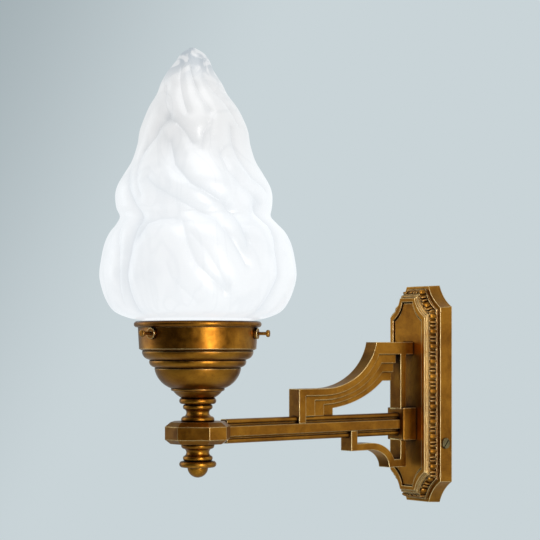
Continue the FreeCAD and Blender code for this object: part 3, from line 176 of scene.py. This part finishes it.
class Shader:
    """One material's nodes, with short ways to add and join them."""

    def __init__(self, name):
        self.material = bpy.data.materials.new(name)
        self.material.use_nodes = True
        self.tree = self.material.node_tree
        self.tree.nodes.clear()
        self.output = self.add("ShaderNodeOutputMaterial")
        self.surface = self.add("ShaderNodeBsdfPrincipled")
        self.join(self.surface.outputs["BSDF"], self.output.inputs["Surface"])
        self.place = self.add("ShaderNodeTexCoord").outputs["Object"]

    def add(self, kind, **settings):
        node = self.tree.nodes.new(kind)
        for key, value in settings.items():
            setattr(node, key, value)
        return node

    def join(self, source, target):
        self.tree.links.new(source, target)

    def put(self, target, value):
        """Set a socket to a constant, or join it to another socket."""
        if isinstance(value, bpy.types.NodeSocket):
            self.join(value, target)
        elif isinstance(value, (tuple, list)) and len(value) == 3 and len(target.default_value) == 4:
            target.default_value = (*value, 1.0)
        else:
            target.default_value = value

    def set(self, **values):
        """Set inputs of the surface shader by name, with _ for a space."""
        for key, value in values.items():
            self.put(self.surface.inputs[key.replace("_", " ")], value)

    def stretched(self, scale):
        mapping = self.add("ShaderNodeMapping")
        self.join(self.place, mapping.inputs["Vector"])
        mapping.inputs["Scale"].default_value = scale
        return mapping.outputs["Vector"]

    def noise(self, scale, detail=4.0, roughness=0.55, stretch=None, distortion=0.0):
        node = self.add("ShaderNodeTexNoise")
        self.join(self.stretched(stretch) if stretch else self.place, node.inputs["Vector"])
        node.inputs["Scale"].default_value = scale
        node.inputs["Detail"].default_value = detail
        node.inputs["Roughness"].default_value = roughness
        node.inputs["Distortion"].default_value = distortion
        return node.outputs[0]

    def math(self, operation, a, b=0.0, clamp=False):
        node = self.add("ShaderNodeMath", operation=operation, use_clamp=clamp)
        self.put(node.inputs[0], a)
        self.put(node.inputs[1], b)
        return node.outputs[0]

    def span(self, value, low, high, to_low=0.0, to_high=1.0):
        """Stretch a value's range and clamp it."""
        node = self.add("ShaderNodeMapRange", clamp=True, interpolation_type="SMOOTHSTEP")
        self.put(node.inputs["Value"], value)
        node.inputs["From Min"].default_value = low
        node.inputs["From Max"].default_value = high
        node.inputs["To Min"].default_value = to_low
        node.inputs["To Max"].default_value = to_high
        return node.outputs["Result"]

    def blend(self, amount, a, b, mode="MIX"):
        node = self.add("ShaderNodeMix", data_type="RGBA", blend_type=mode)
        self.put(node.inputs[0], amount)
        self.put(node.inputs[6], a)
        self.put(node.inputs[7], b)
        return node.outputs[2]

    def bump(self, height, strength, distance, normal=None):
        node = self.add("ShaderNodeBump")
        node.inputs["Strength"].default_value = strength
        node.inputs["Distance"].default_value = distance
        self.join(height, node.inputs["Height"])
        if normal:
            self.join(normal, node.inputs["Normal"])
        return node.outputs["Normal"]

    def rounded(self, radius):
        """Normal with rounded edges."""
        node = self.add("ShaderNodeBevel", samples=6)
        node.inputs["Radius"].default_value = radius
        return node.outputs["Normal"]

    def edges(self, radius):
        """0 on flat faces, up to 1 on edges."""
        true_normal = self.add("ShaderNodeNewGeometry").outputs["True Normal"]
        node = self.add("ShaderNodeVectorMath", operation="DOT_PRODUCT")
        self.join(self.rounded(radius), node.inputs[0])
        self.join(true_normal, node.inputs[1])
        return self.span(node.outputs["Value"], 0.999, 0.86)

    def openness(self, distance):
        """1 where a surface is open, lower in grooves and corners."""
        node = self.add("ShaderNodeAmbientOcclusion", samples=8)
        node.inputs["Distance"].default_value = distance
        return node.outputs["AO"]


# ------------------------------------------------------------------- materials

def aged_brass_with_painted_light(name, grain, front_painted_shade=0.0):
    """Brass with brown patina and painted shade in its corners, painted shadow in deep gaps, worn
    edges with a painted highlight, and, if asked for, painted shade on faces turned from the wall.
    """
    s = Shader(name)
    golden = (0.39, 0.166, 0.017)
    brown = (0.20, 0.072, 0.007)
    # dark is the colour of fine spots, of patina and of painted shade
    dark = (0.020, 0.007, 0.003)
    worn_highlight = (0.95, 0.72, 0.34)
    cloud = s.span(s.noise(38.0, 5.0, 0.6, distortion=0.4), 0.30, 0.70)
    fine = s.noise(900.0, 4.0, 0.6)
    colour = s.blend(cloud, brown, golden)
    colour = s.blend(s.span(fine, 0.45, 0.80, 0.0, 0.35), colour, dark)
    near = s.openness(2.4 * MM)
    far = s.openness(24.0 * MM)
    # patina and painted shade: darker in grooves and corners
    colour = s.blend(s.span(near, 0.86, 0.46), colour, dark)
    # painted shadow: darker in deep gaps, such as on the plate behind the upright
    colour = s.blend(s.span(far, 0.66, 0.24, 0.0, 0.96), colour, dark)
    if front_painted_shade:           # painted shade on faces turned from the wall
        facing = s.add("ShaderNodeSeparateXYZ")
        s.join(s.add("ShaderNodeNewGeometry").outputs["True Normal"], facing.inputs["Vector"])
        colour = s.blend(s.span(facing.outputs["Y"], -0.5, -0.95, 0.0, front_painted_shade), colour, dark)
    # worn edges carrying a painted highlight: lighter along open edges
    wear_and_highlight = s.math("MULTIPLY", s.edges(1.1 * MM), s.span(near, 0.55, 0.90))
    wear_and_highlight = s.math("MULTIPLY", wear_and_highlight, s.span(s.noise(160.0, 3.0), 0.25, 0.55, 0.6, 1.0))
    colour = s.blend(wear_and_highlight, colour, worn_highlight)
    stretch, depth, base_rough = brass_grains[grain]
    lines = s.noise(1400.0, 3.0, 0.6, stretch=stretch)
    normal = s.bump(lines, depth, 0.25 * MM, s.rounded(0.75 * MM))
    normal = s.bump(s.noise(110.0, 2.0), 0.08, 0.8 * MM, normal)
    rough = s.span(s.noise(210.0, 4.0), 0.3, 0.7, base_rough - 0.05, base_rough + 0.07)
    rough = s.math("ADD", rough, s.span(near, 0.85, 0.35, 0.0, 0.25))
    s.set(Base_Color=colour, Metallic=1.0, Roughness=rough, Normal=normal)
    return s.material


def plain_metal(name, colour, tarnish, rough, scale=180.0):
    """Small fixings: plated or machined metal with light tarnish and painted shade in its corners."""
    s = Shader(name)
    cloud = s.span(s.noise(scale, 5.0, 0.6), 0.35, 0.7)
    base = s.blend(cloud, colour, tarnish)
    # painted shade: darker in grooves and corners
    base = s.blend(s.span(s.openness(2.0 * MM), 0.85, 0.3), base, (0.04, 0.035, 0.03))
    lines = s.noise(2200.0, 3.0, 0.6, stretch=(1, 1, 0.08))
    normal = s.bump(lines, 0.12, 0.1 * MM, s.rounded(0.25 * MM))
    roughness = s.span(s.noise(400.0, 3.0), 0.3, 0.7, rough - 0.07, rough + 0.10)
    s.set(Base_Color=base, Metallic=1.0, Roughness=roughness, Normal=normal)
    return s.material


def moulded(name, colour, shade, rough, coat=0.0):
    """Plastic, rubber or glazed porcelain with a little unevenness and painted shade in its hollows.
    """
    s = Shader(name)
    cloud = s.span(s.noise(140.0, 4.0), 0.3, 0.7)
    base = s.blend(cloud, colour, shade)
    # painted shade: darker in hollows
    base = s.blend(s.span(s.openness(3.0 * MM), 0.8, 0.3, 0.0, 0.6), base, shade)
    grain = s.bump(s.noise(1800.0, 2.0), 0.10, 0.1 * MM, s.rounded(0.3 * MM))
    roughness = s.span(s.noise(500.0, 2.0), 0.3, 0.7, rough - 0.05, rough + 0.08)
    s.set(Base_Color=base, Roughness=roughness, Normal=grain, Coat_Weight=coat)
    return s.material


def satin_flame_glass():
    """White satin glass with a painted glow for the bulb's light, painted shade in its folds and
    higher up, and at its clearer tip a painted see-through grey and dark rim.
    """
    s = Shader("satin_flame_glass")
    fold = s.add("ShaderNodeAttribute", attribute_name="fold").outputs["Fac"]
    height = s.add("ShaderNodeSeparateXYZ")
    s.join(s.place, height.inputs["Vector"])
    up = height.outputs["Z"]
    # painted shade: the glass greys higher up, further from the bulb
    upper = s.span(up, shade_high.z - 112 * MM, shade_high.z - 55 * MM)
    tip = s.span(up, shade_high.z - 34 * MM, shade_high.z - 6 * MM)
    ripple = s.noise(38.0, 3.0, 0.5, distortion=0.8)
    # painted shade in the folds
    fold_shade_mask = s.span(fold, 0.05, 0.95)
    lit = s.blend(upper, (0.925, 0.950, 0.975), (0.830, 0.838, 0.846))
    shade_grey = s.blend(upper, (0.770, 0.810, 0.850), (0.620, 0.640, 0.660))
    clear = (0.47, 0.52, 0.565)
    colour = s.blend(fold_shade_mask, lit, shade_grey)
    colour = s.blend(s.span(ripple, 0.45, 0.78, 0.0, 0.30), colour, shade_grey)
    # painted shade along fine creases
    streaks = s.noise(34.0, 2.0, 0.45, stretch=(1, 1, 0.24), distortion=1.1)
    crease = s.math("ABSOLUTE", s.math("SUBTRACT", streaks, 0.5))
    colour = s.blend(s.span(crease, 0.045, 0.0, 0.0, 0.20), colour, shade_grey)
    # at the clearer tip, painted grey for what is seen through the glass
    glassy = s.math("MULTIPLY", tip, s.span(s.noise(70.0, 2.0, distortion=1.2), 0.38, 0.56, 0.25, 1.0))
    colour = s.blend(glassy, colour, clear)
    # painted dark rim where the tip's glass turns away
    grazing = s.add("ShaderNodeLayerWeight")
    grazing.inputs["Blend"].default_value = 0.22
    rim = s.math("POWER", grazing.outputs["Facing"], 3.0)
    outline = s.math("MULTIPLY", tip, s.span(rim, 0.25, 0.8))
    colour = s.blend(outline, colour, (0.10, 0.10, 0.11))
    normal = s.bump(s.noise(240.0, 3.0), 0.08, 0.3 * MM)
    s.set(Base_Color=s.blend(0.93, colour, (0.0, 0.0, 0.0)), Roughness=0.42, Normal=normal)
    # painted glow for the bulb's light through the glass, dimmer at grazing angles as painted shade
    s.set(Emission_Color=colour, Coat_Weight=0.08, Coat_Roughness=0.15)
    s.set(Emission_Strength=s.math("SUBTRACT", 0.89, s.math("MULTIPLY", rim, 0.16)))
    return s.material


def lit_bulb_glass():
    """Frosted bulb, lit."""
    s = Shader("lit_bulb_glass")
    frost = s.bump(s.noise(1500.0, 2.0), 0.15, 0.1 * MM)
    s.set(Base_Color=(0.95, 0.93, 0.88), Roughness=0.35, Normal=frost)
    s.set(Emission_Color=(1.0, 0.93, 0.80), Emission_Strength=1.6)
    return s.material


def studio_floor():
    s = Shader("studio_floor")
    tone = s.span(s.noise(3.0, 3.0), 0.3, 0.7)
    s.set(Base_Color=s.blend(tone, (0.62, 0.68, 0.71), (0.66, 0.72, 0.75)), Roughness=0.8)
    return s.material


def dress_frame():
    """Give every carried-over solid its material."""
    cast = aged_brass_with_painted_light("cast_brass", "cast")
    turned = aged_brass_with_painted_light("turned_brass", "turned")
    drawn = aged_brass_with_painted_light("drawn_brass", "drawn")
    # brass with painted shade on its faces turned from the wall
    front_shaded = aged_brass_with_painted_light("front_shaded_brass", "cast", 0.55)
    screw = plain_metal("screw_steel", (0.21, 0.165, 0.075), (0.10, 0.072, 0.03), 0.40)
    zinc = plain_metal("zinc_steel", (0.56, 0.56, 0.54), (0.42, 0.40, 0.32), 0.34)
    fresh = plain_metal("fresh_brass", (0.66, 0.47, 0.20), (0.42, 0.27, 0.10), 0.30)
    alloy = plain_metal("cap_alloy", (0.68, 0.68, 0.69), (0.48, 0.48, 0.49), 0.30)
    wire = plain_metal("filament_wire", (0.30, 0.30, 0.31), (0.16, 0.16, 0.17), 0.40)
    porcelain = moulded("porcelain", (0.80, 0.78, 0.72), (0.62, 0.60, 0.54), 0.18, 0.5)
    black = moulded("black_insulator", (0.02, 0.02, 0.022), (0.045, 0.045, 0.05), 0.22, 0.3)
    block = moulded("terminal_plastic", (0.74, 0.72, 0.66), (0.58, 0.56, 0.50), 0.42)
    rubber = moulded("grommet_rubber", (0.022, 0.022, 0.022), (0.05, 0.05, 0.048), 0.62)
    brown = moulded("brown_flex", (0.13, 0.05, 0.025), (0.08, 0.03, 0.016), 0.36)
    blue = moulded("blue_flex", (0.02, 0.09, 0.33), (0.015, 0.06, 0.22), 0.36)
    bulb = lit_bulb_glass()
    looks = {
        "backplate": cast, "boss": front_shaded, "upper_bracket": front_shaded, "lower_bracket": front_shaded,
        "hub_block": front_shaded, "arm_bar": drawn, "upper_collar": turned, "lower_collar": turned,
        "ball_finial": turned, "gallery_cup": turned, "screw_bushes": turned,
        "thumb_screw_1": turned, "thumb_screw_2": turned, "thumb_screw_3": turned,
        "side_screws": screw, "terminal_screws": screw, "boss_screws": zinc,
        "bar_screw": zinc, "screw_washers": zinc, "wall_strap": zinc, "earth_washer": zinc,
        "upper_nipple": zinc, "lower_nipple": zinc, "earth_stud": fresh, "earth_nut": fresh,
        "lock_nut": fresh, "lampholder_cap": fresh, "lampholder_shell": fresh,
        "thread_sleeve": fresh, "centre_contact": fresh, "bulb_contact": fresh,
        "bulb_cap": alloy, "bulb_filament": wire, "lampholder_core": porcelain,
        "bulb_insulator": black, "terminal_block": block, "cable_grommet": rubber,
        "live_wire": brown, "neutral_wire": blue, "bulb_glass": bulb, "bulb_stem": bulb}
    for node, look in looks.items():
        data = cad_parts[node].data
        data.materials.clear()
        data.materials.append(look)


# ------------------------------------------------------------------- mesh tools

def new_piece(name, vertices, faces, material, smooth=True):
    mesh = bpy.data.meshes.new(name)
    mesh.from_pydata(vertices, [], faces)
    mesh.polygons.foreach_set("use_smooth", [smooth] * len(mesh.polygons))
    mesh.materials.append(material)
    mesh.update()
    piece = bpy.data.objects.new(name, mesh)
    bpy.context.scene.collection.objects.link(piece)
    return piece


def smooth_value(points, at):
    """Smooth curve through (position, value) points, for an array of positions."""
    xs = np.array([p[0] for p in points], float)
    ys = np.array([p[1] for p in points], float)
    low = np.maximum(np.arange(len(xs)) - 1, 0)
    high = np.minimum(np.arange(len(xs)) + 1, len(xs) - 1)
    slopes = (ys[high] - ys[low]) / (xs[high] - xs[low])
    at = np.clip(at, xs[0], xs[-1])
    k = np.clip(np.searchsorted(xs, at, side="left") - 1, 0, len(xs) - 2)
    span = xs[k + 1] - xs[k]
    t = (at - xs[k]) / span
    return ((2 * t ** 3 - 3 * t ** 2 + 1) * ys[k] + (t ** 3 - 2 * t ** 2 + t) * span * slopes[k]
            + (3 * t ** 2 - 2 * t ** 3) * ys[k + 1] + (t ** 3 - t ** 2) * span * slopes[k + 1])


# ------------------------------------------------------------------ glass flame

lean_angle = math.radians(fold_reference_angle + 90)
lean_direction = np.array([math.cos(lean_angle), math.sin(lean_angle)])


def distance_to_path(path, angle, height, radius):
    """Distance over the glass from points to a fold's path."""
    best = np.full(angle.shape, 1e9)
    for (a0, h0), (a1, h1) in zip(path, path[1:]):
        x0 = np.radians(a0 - angle) * radius
        x1 = np.radians(a1 - angle) * radius
        dx = x1 - x0
        dz = h1 - h0
        along = np.clip(-(x0 * dx + (h0 - height) * dz) / (dx * dx + dz * dz), 0.0, 1.0)
        best = np.minimum(best, np.hypot(x0 + dx * along, h0 + dz * along - height))
    return best


def fold_depth(angle, height, radius):
    """How far the folds press the glass in: a soft valley with a sharp crease."""
    sector = 360.0 / fold_symmetry
    depth = np.zeros(angle.shape)
    for deepest, half_width, path in flame_folds:
        for turn in range(-fold_turns, fold_turns + 1):
            away = distance_to_path(path, angle + turn * sector, height, radius)
            valley = np.exp(-(away / (half_width * valley_spread)) ** 2)
            crease = np.exp(-away / (half_width * crease_spread))
            depth += deepest * (valley_share * valley + crease_share * crease)
    return np.minimum(depth, fold_limit) * np.minimum(1.0, radius / fold_fade_radius)


def flame_rings():
    """Rings of the glass in millimetres, up the outside and down the inside, with their folds."""
    steps = flame_round_steps
    turn = np.arange(steps) * 360.0 / steps
    fold_angle = (turn - fold_reference_angle + 180.0) % 360.0 - 180.0
    circle = np.stack([np.cos(np.radians(turn)), np.sin(np.radians(turn))], axis=1)
    rings = []
    folds = []

    def ring(radius, height, lean=0.0, depth=0.0):
        flat = circle * np.reshape(radius, (-1, 1)) + lean_direction * lean
        rings.append(np.hstack([flat, np.full((steps, 1), height)]))
        folds.append(np.broadcast_to(depth, (steps,)) / fold_full)

    for height in np.linspace(-neck_height, -shoulder_gap, neck_outer_steps):
        ring(np.full(steps, neck_radius - neck_skin), height)
    for height in np.linspace(0.0, 1.0, flame_rise_steps) ** row_easing * shade_height:
        radius = smooth_value(flame_outline, height)
        depth = fold_depth(fold_angle, np.full(steps, height), radius)
        ring(radius - depth, height, smooth_value(flame_lean, height), depth)
    outer_rings = len(rings)

    inner_radius = neck_radius - glass_wall
    inner_outline = [(0.0, inner_radius)]
    for level in hollow_levels:
        thinned = float(smooth_value(flame_outline, level)) - hollow_margin * glass_wall
        inner_outline.append((level, max(thinned, hollow_least_radius)))
    for height in np.linspace(hollow_levels[-1], 0.0, hollow_rise_steps):
        ring(np.full(steps, smooth_value(inner_outline, height)), height)
    for height in np.linspace(-shoulder_gap, -neck_height, neck_inner_steps):
        ring(np.full(steps, inner_radius), height)
    return rings, folds, outer_rings


def skin_faces(count, outer_rings, top):
    """Faces that join the rings into one closed skin, with a point at both its tips."""
    steps = flame_round_steps
    faces = []
    for row in range(count):
        if row == outer_rings - 1:
            continue
        a = row * steps
        b = ((row + 1) % count) * steps
        for k in range(steps):
            n = (k + 1) % steps
            faces.append((a + k, a + n, b + n, b + k))
    last = (outer_rings - 1) * steps
    first = outer_rings * steps
    for k in range(steps):
        n = (k + 1) % steps
        faces.append((last + k, last + n, top))
        faces.append((first + n, first + k, top + 1))
    return faces


def make_flame():
    """Hollow glass flame with its straight neck, as one closed skin."""
    rings, folds, outer_rings = flame_rings()
    points = np.concatenate(rings)
    top = len(points)
    tip = lean_direction * float(smooth_value(flame_lean, shade_height))
    points = np.vstack([points, [*tip, shade_height + tip_rise], [0, 0, hollow_levels[-1]]])
    places = points * MM + np.array([0, axis_y, shade_low.z])
    faces = skin_faces(len(rings), outer_rings, top)
    flame = new_piece("flame_glass", places.tolist(), faces, satin_flame_glass())
    layer = flame.data.attributes.new("fold", "FLOAT", "POINT")
    layer.data.foreach_set("value", np.concatenate(folds + [[0.0, 0.0]]).astype(np.float32))
    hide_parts("flame_shade", "shade_neck")
    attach(flame, "shade")


# --------------------------------------------------------------------- bead row

def plate_path(side_inset, end_inset):
    """Closed line round the plate, in (X, Z) millimetres, with hollow corners."""
    w = plate_half_width - side_inset
    h = plate_half_height - end_inset
    notch_w = notch_width - notch_width_taper * side_inset
    notch_h = notch_height - notch_height_taper * end_inset
    path = []
    for sx, sz in ((1, 1), (1, -1), (-1, -1), (-1, 1)):
        on_end = Vector((sx * (w - notch_w), sz * h))
        on_side = Vector((sx * w, sz * (h - notch_h)))
        inward = Vector((-sx * notch_h, -sz * notch_w)).normalized()
        curve = []
        for k in range(corner_steps + 1):
            t = k / corner_steps
            bow = inward * (4 * notch_sag * t * (1 - t))
            curve.append(on_end.lerp(on_side, t) + bow)
        path += curve if sx * sz > 0 else curve[::-1]
    return path + [path[0]]


def along_path(path, distances):
    """Places and directions at given distances along a closed line."""
    lengths = [0.0]
    for a, b in zip(path, path[1:]):
        lengths.append(lengths[-1] + (b - a).length)
    spots = []
    k = 0
    for target in distances:
        while lengths[k + 1] < target:
            k += 1
        t = (target - lengths[k]) / max(lengths[k + 1] - lengths[k], 1e-9)
        spots.append((path[k].lerp(path[k + 1], t), (path[k + 1] - path[k]).normalized()))
    return spots


def add_bead(vertices, faces, centre, axes, sizes):
    """One bead: a rounded barrel with its long axis across the band."""
    along, outward, across = axes
    base = len(vertices)
    for i in range(bead_rows + 1):
        polar = math.pi * i / bead_rows
        lift = math.cos(polar)
        swell = math.sin(polar) ** bead_fullness
        for j in range(bead_sides):
            turn = 2 * math.pi * j / bead_sides
            vertices.append(centre + across * (lift * sizes[2])
                            + outward * (swell * math.cos(turn) * sizes[1])
                            + along * (swell * math.sin(turn) * sizes[0]))
    for i in range(bead_rows):
        low = base + i * bead_sides
        high = low + bead_sides
        for j in range(bead_sides):
            n = (j + 1) % bead_sides
            faces.append((low + j, low + n, high + n, high + j))


def make_bead_row():
    """Bead-and-reel row all round the plate's sloping band."""
    path = plate_path(band_side_inset, band_end_inset)
    total = sum((b - a).length for a, b in zip(path, path[1:]))
    repeats = round(total / bead_pitch)
    pitch = total / repeats
    marks = [(n * pitch + place, length) for n in range(repeats) for place, length in bead_marks]
    vertices = []
    faces = []
    spots = along_path(path, [distance for distance, length in marks])
    for (place, direction), (distance, length) in zip(spots, marks):
        along = Vector((direction.x, 0, direction.y))
        outward = Vector((-direction.y, 0, direction.x))
        if outward.dot(Vector((place.x, 0, place.y))) < 0:
            outward = -outward
        centre = Vector((place.x, -band_depth, place.y)) * MM
        across = Vector((0, -1, 0)) - outward * band_slope
        add_bead(vertices, faces, centre, (along, outward, across.normalized()),
                 (length / 2 * MM, bead_radius * MM, bead_across * MM))
    beads = new_piece("bead_row", vertices, faces, bpy.data.materials["cast_brass"])
    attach(beads, "fixture")


# ------------------------------------------------------------------ the studio

def area_light(name, place, aim, size, power, colour):
    data = bpy.data.lights.new(name, "AREA")
    data.shape = "RECTANGLE"
    data.size, data.size_y = size
    data.energy = power
    data.color = colour
    lamp = bpy.data.objects.new(name, data)
    lamp.location = place
    lamp.rotation_euler = (Vector(aim) - Vector(place)).to_track_quat("-Z", "Y").to_euler()
    bpy.context.scene.collection.objects.link(lamp)


def around(azimuth, distance, height):
    """Place round the lamp: azimuth counted from the front, towards +X."""
    turn = math.radians(azimuth)
    return (math.sin(turn) * distance, axis_y / 2 - math.cos(turn) * distance, height)


def make_lights():
    centre = (0, axis_y / 2, 0.0)
    for name, azimuth, distance, height, size, power, colour in softboxes:
        area_light(name, around(azimuth, distance, height), centre, size, power, colour)


def make_world():
    """Pale backdrop behind the lamp, in a studio that is dark behind the camera."""
    world = bpy.data.worlds.new("studio")
    bpy.context.scene.world = world
    world.use_nodes = True
    tree = world.node_tree
    tree.nodes.clear()
    output = tree.nodes.new("ShaderNodeOutputWorld")
    shade = tree.nodes.new("ShaderNodeBackground")
    place = tree.nodes.new("ShaderNodeTexCoord")

    def ramp(direction, low, high, from_colour):
        """A fade along a direction; its second colour is left to the caller."""
        lean = tree.nodes.new("ShaderNodeVectorMath")
        lean.operation = "DOT_PRODUCT"
        lean.inputs[1].default_value = direction
        tree.links.new(place.outputs["Generated"], lean.inputs[0])
        fade = tree.nodes.new("ShaderNodeMapRange")
        fade.interpolation_type = "SMOOTHSTEP"
        fade.inputs["From Min"].default_value = low
        fade.inputs["From Max"].default_value = high
        tree.links.new(lean.outputs["Value"], fade.inputs["Value"])
        paint = tree.nodes.new("ShaderNodeMix")
        paint.data_type = "RGBA"
        paint.inputs[6].default_value = (*from_colour, 1)
        tree.links.new(fade.outputs["Result"], paint.inputs[0])
        return paint

    turn = math.radians(view_azimuth)
    rightward = 0.9
    downward = 0.45
    backdrop = ramp((math.cos(turn) * rightward, math.sin(turn) * rightward, -downward),
                    -0.30, -0.075, backdrop_dull)
    backdrop.inputs[7].default_value = (*backdrop_bright, 1)
    studio = ramp((-math.sin(turn), math.cos(turn), 0.0), -0.75, 0.35, room_dark)
    tree.links.new(backdrop.outputs[2], studio.inputs[7])
    tree.links.new(studio.outputs[2], shade.inputs["Color"])
    tree.links.new(shade.outputs[0], output.inputs["Surface"])


def make_floor():
    """Pale round floor well below the lamp."""
    rim = []
    for k in range(floor_sides):
        turn = 2 * math.pi * k / floor_sides
        rim.append((floor_radius * math.cos(turn), axis_y / 2 + floor_radius * math.sin(turn),
                    plate_bottom - floor_drop))
    floor = new_piece("studio_floor", rim, [tuple(range(floor_sides))], studio_floor(), False)


def make_camera():
    data = bpy.data.cameras.new("photo_camera")
    data.sensor_width = sensor_width
    data.lens = view_lens
    data.shift_y = (horizon_row - photo_size / 2) / photo_size
    data.clip_start = nearest_seen
    data.clip_end = farthest_seen
    camera = bpy.data.objects.new("photo_camera", data)
    turn = math.radians(view_azimuth)
    back = Vector((math.sin(turn), -math.cos(turn), 0))
    right = Vector((math.cos(turn), math.sin(turn), 0))
    camera.location = back * view_distance + right * view_side + Vector((0, 0, view_height))
    camera.rotation_euler = (-back).to_track_quat("-Z", "Y").to_euler()
    bpy.context.scene.collection.objects.link(camera)
    bpy.context.scene.camera = camera


dress_frame()
make_flame()
make_bead_row()
make_floor()
make_lights()
make_world()
make_camera()
bpy.context.scene.view_settings.view_transform = "Standard"
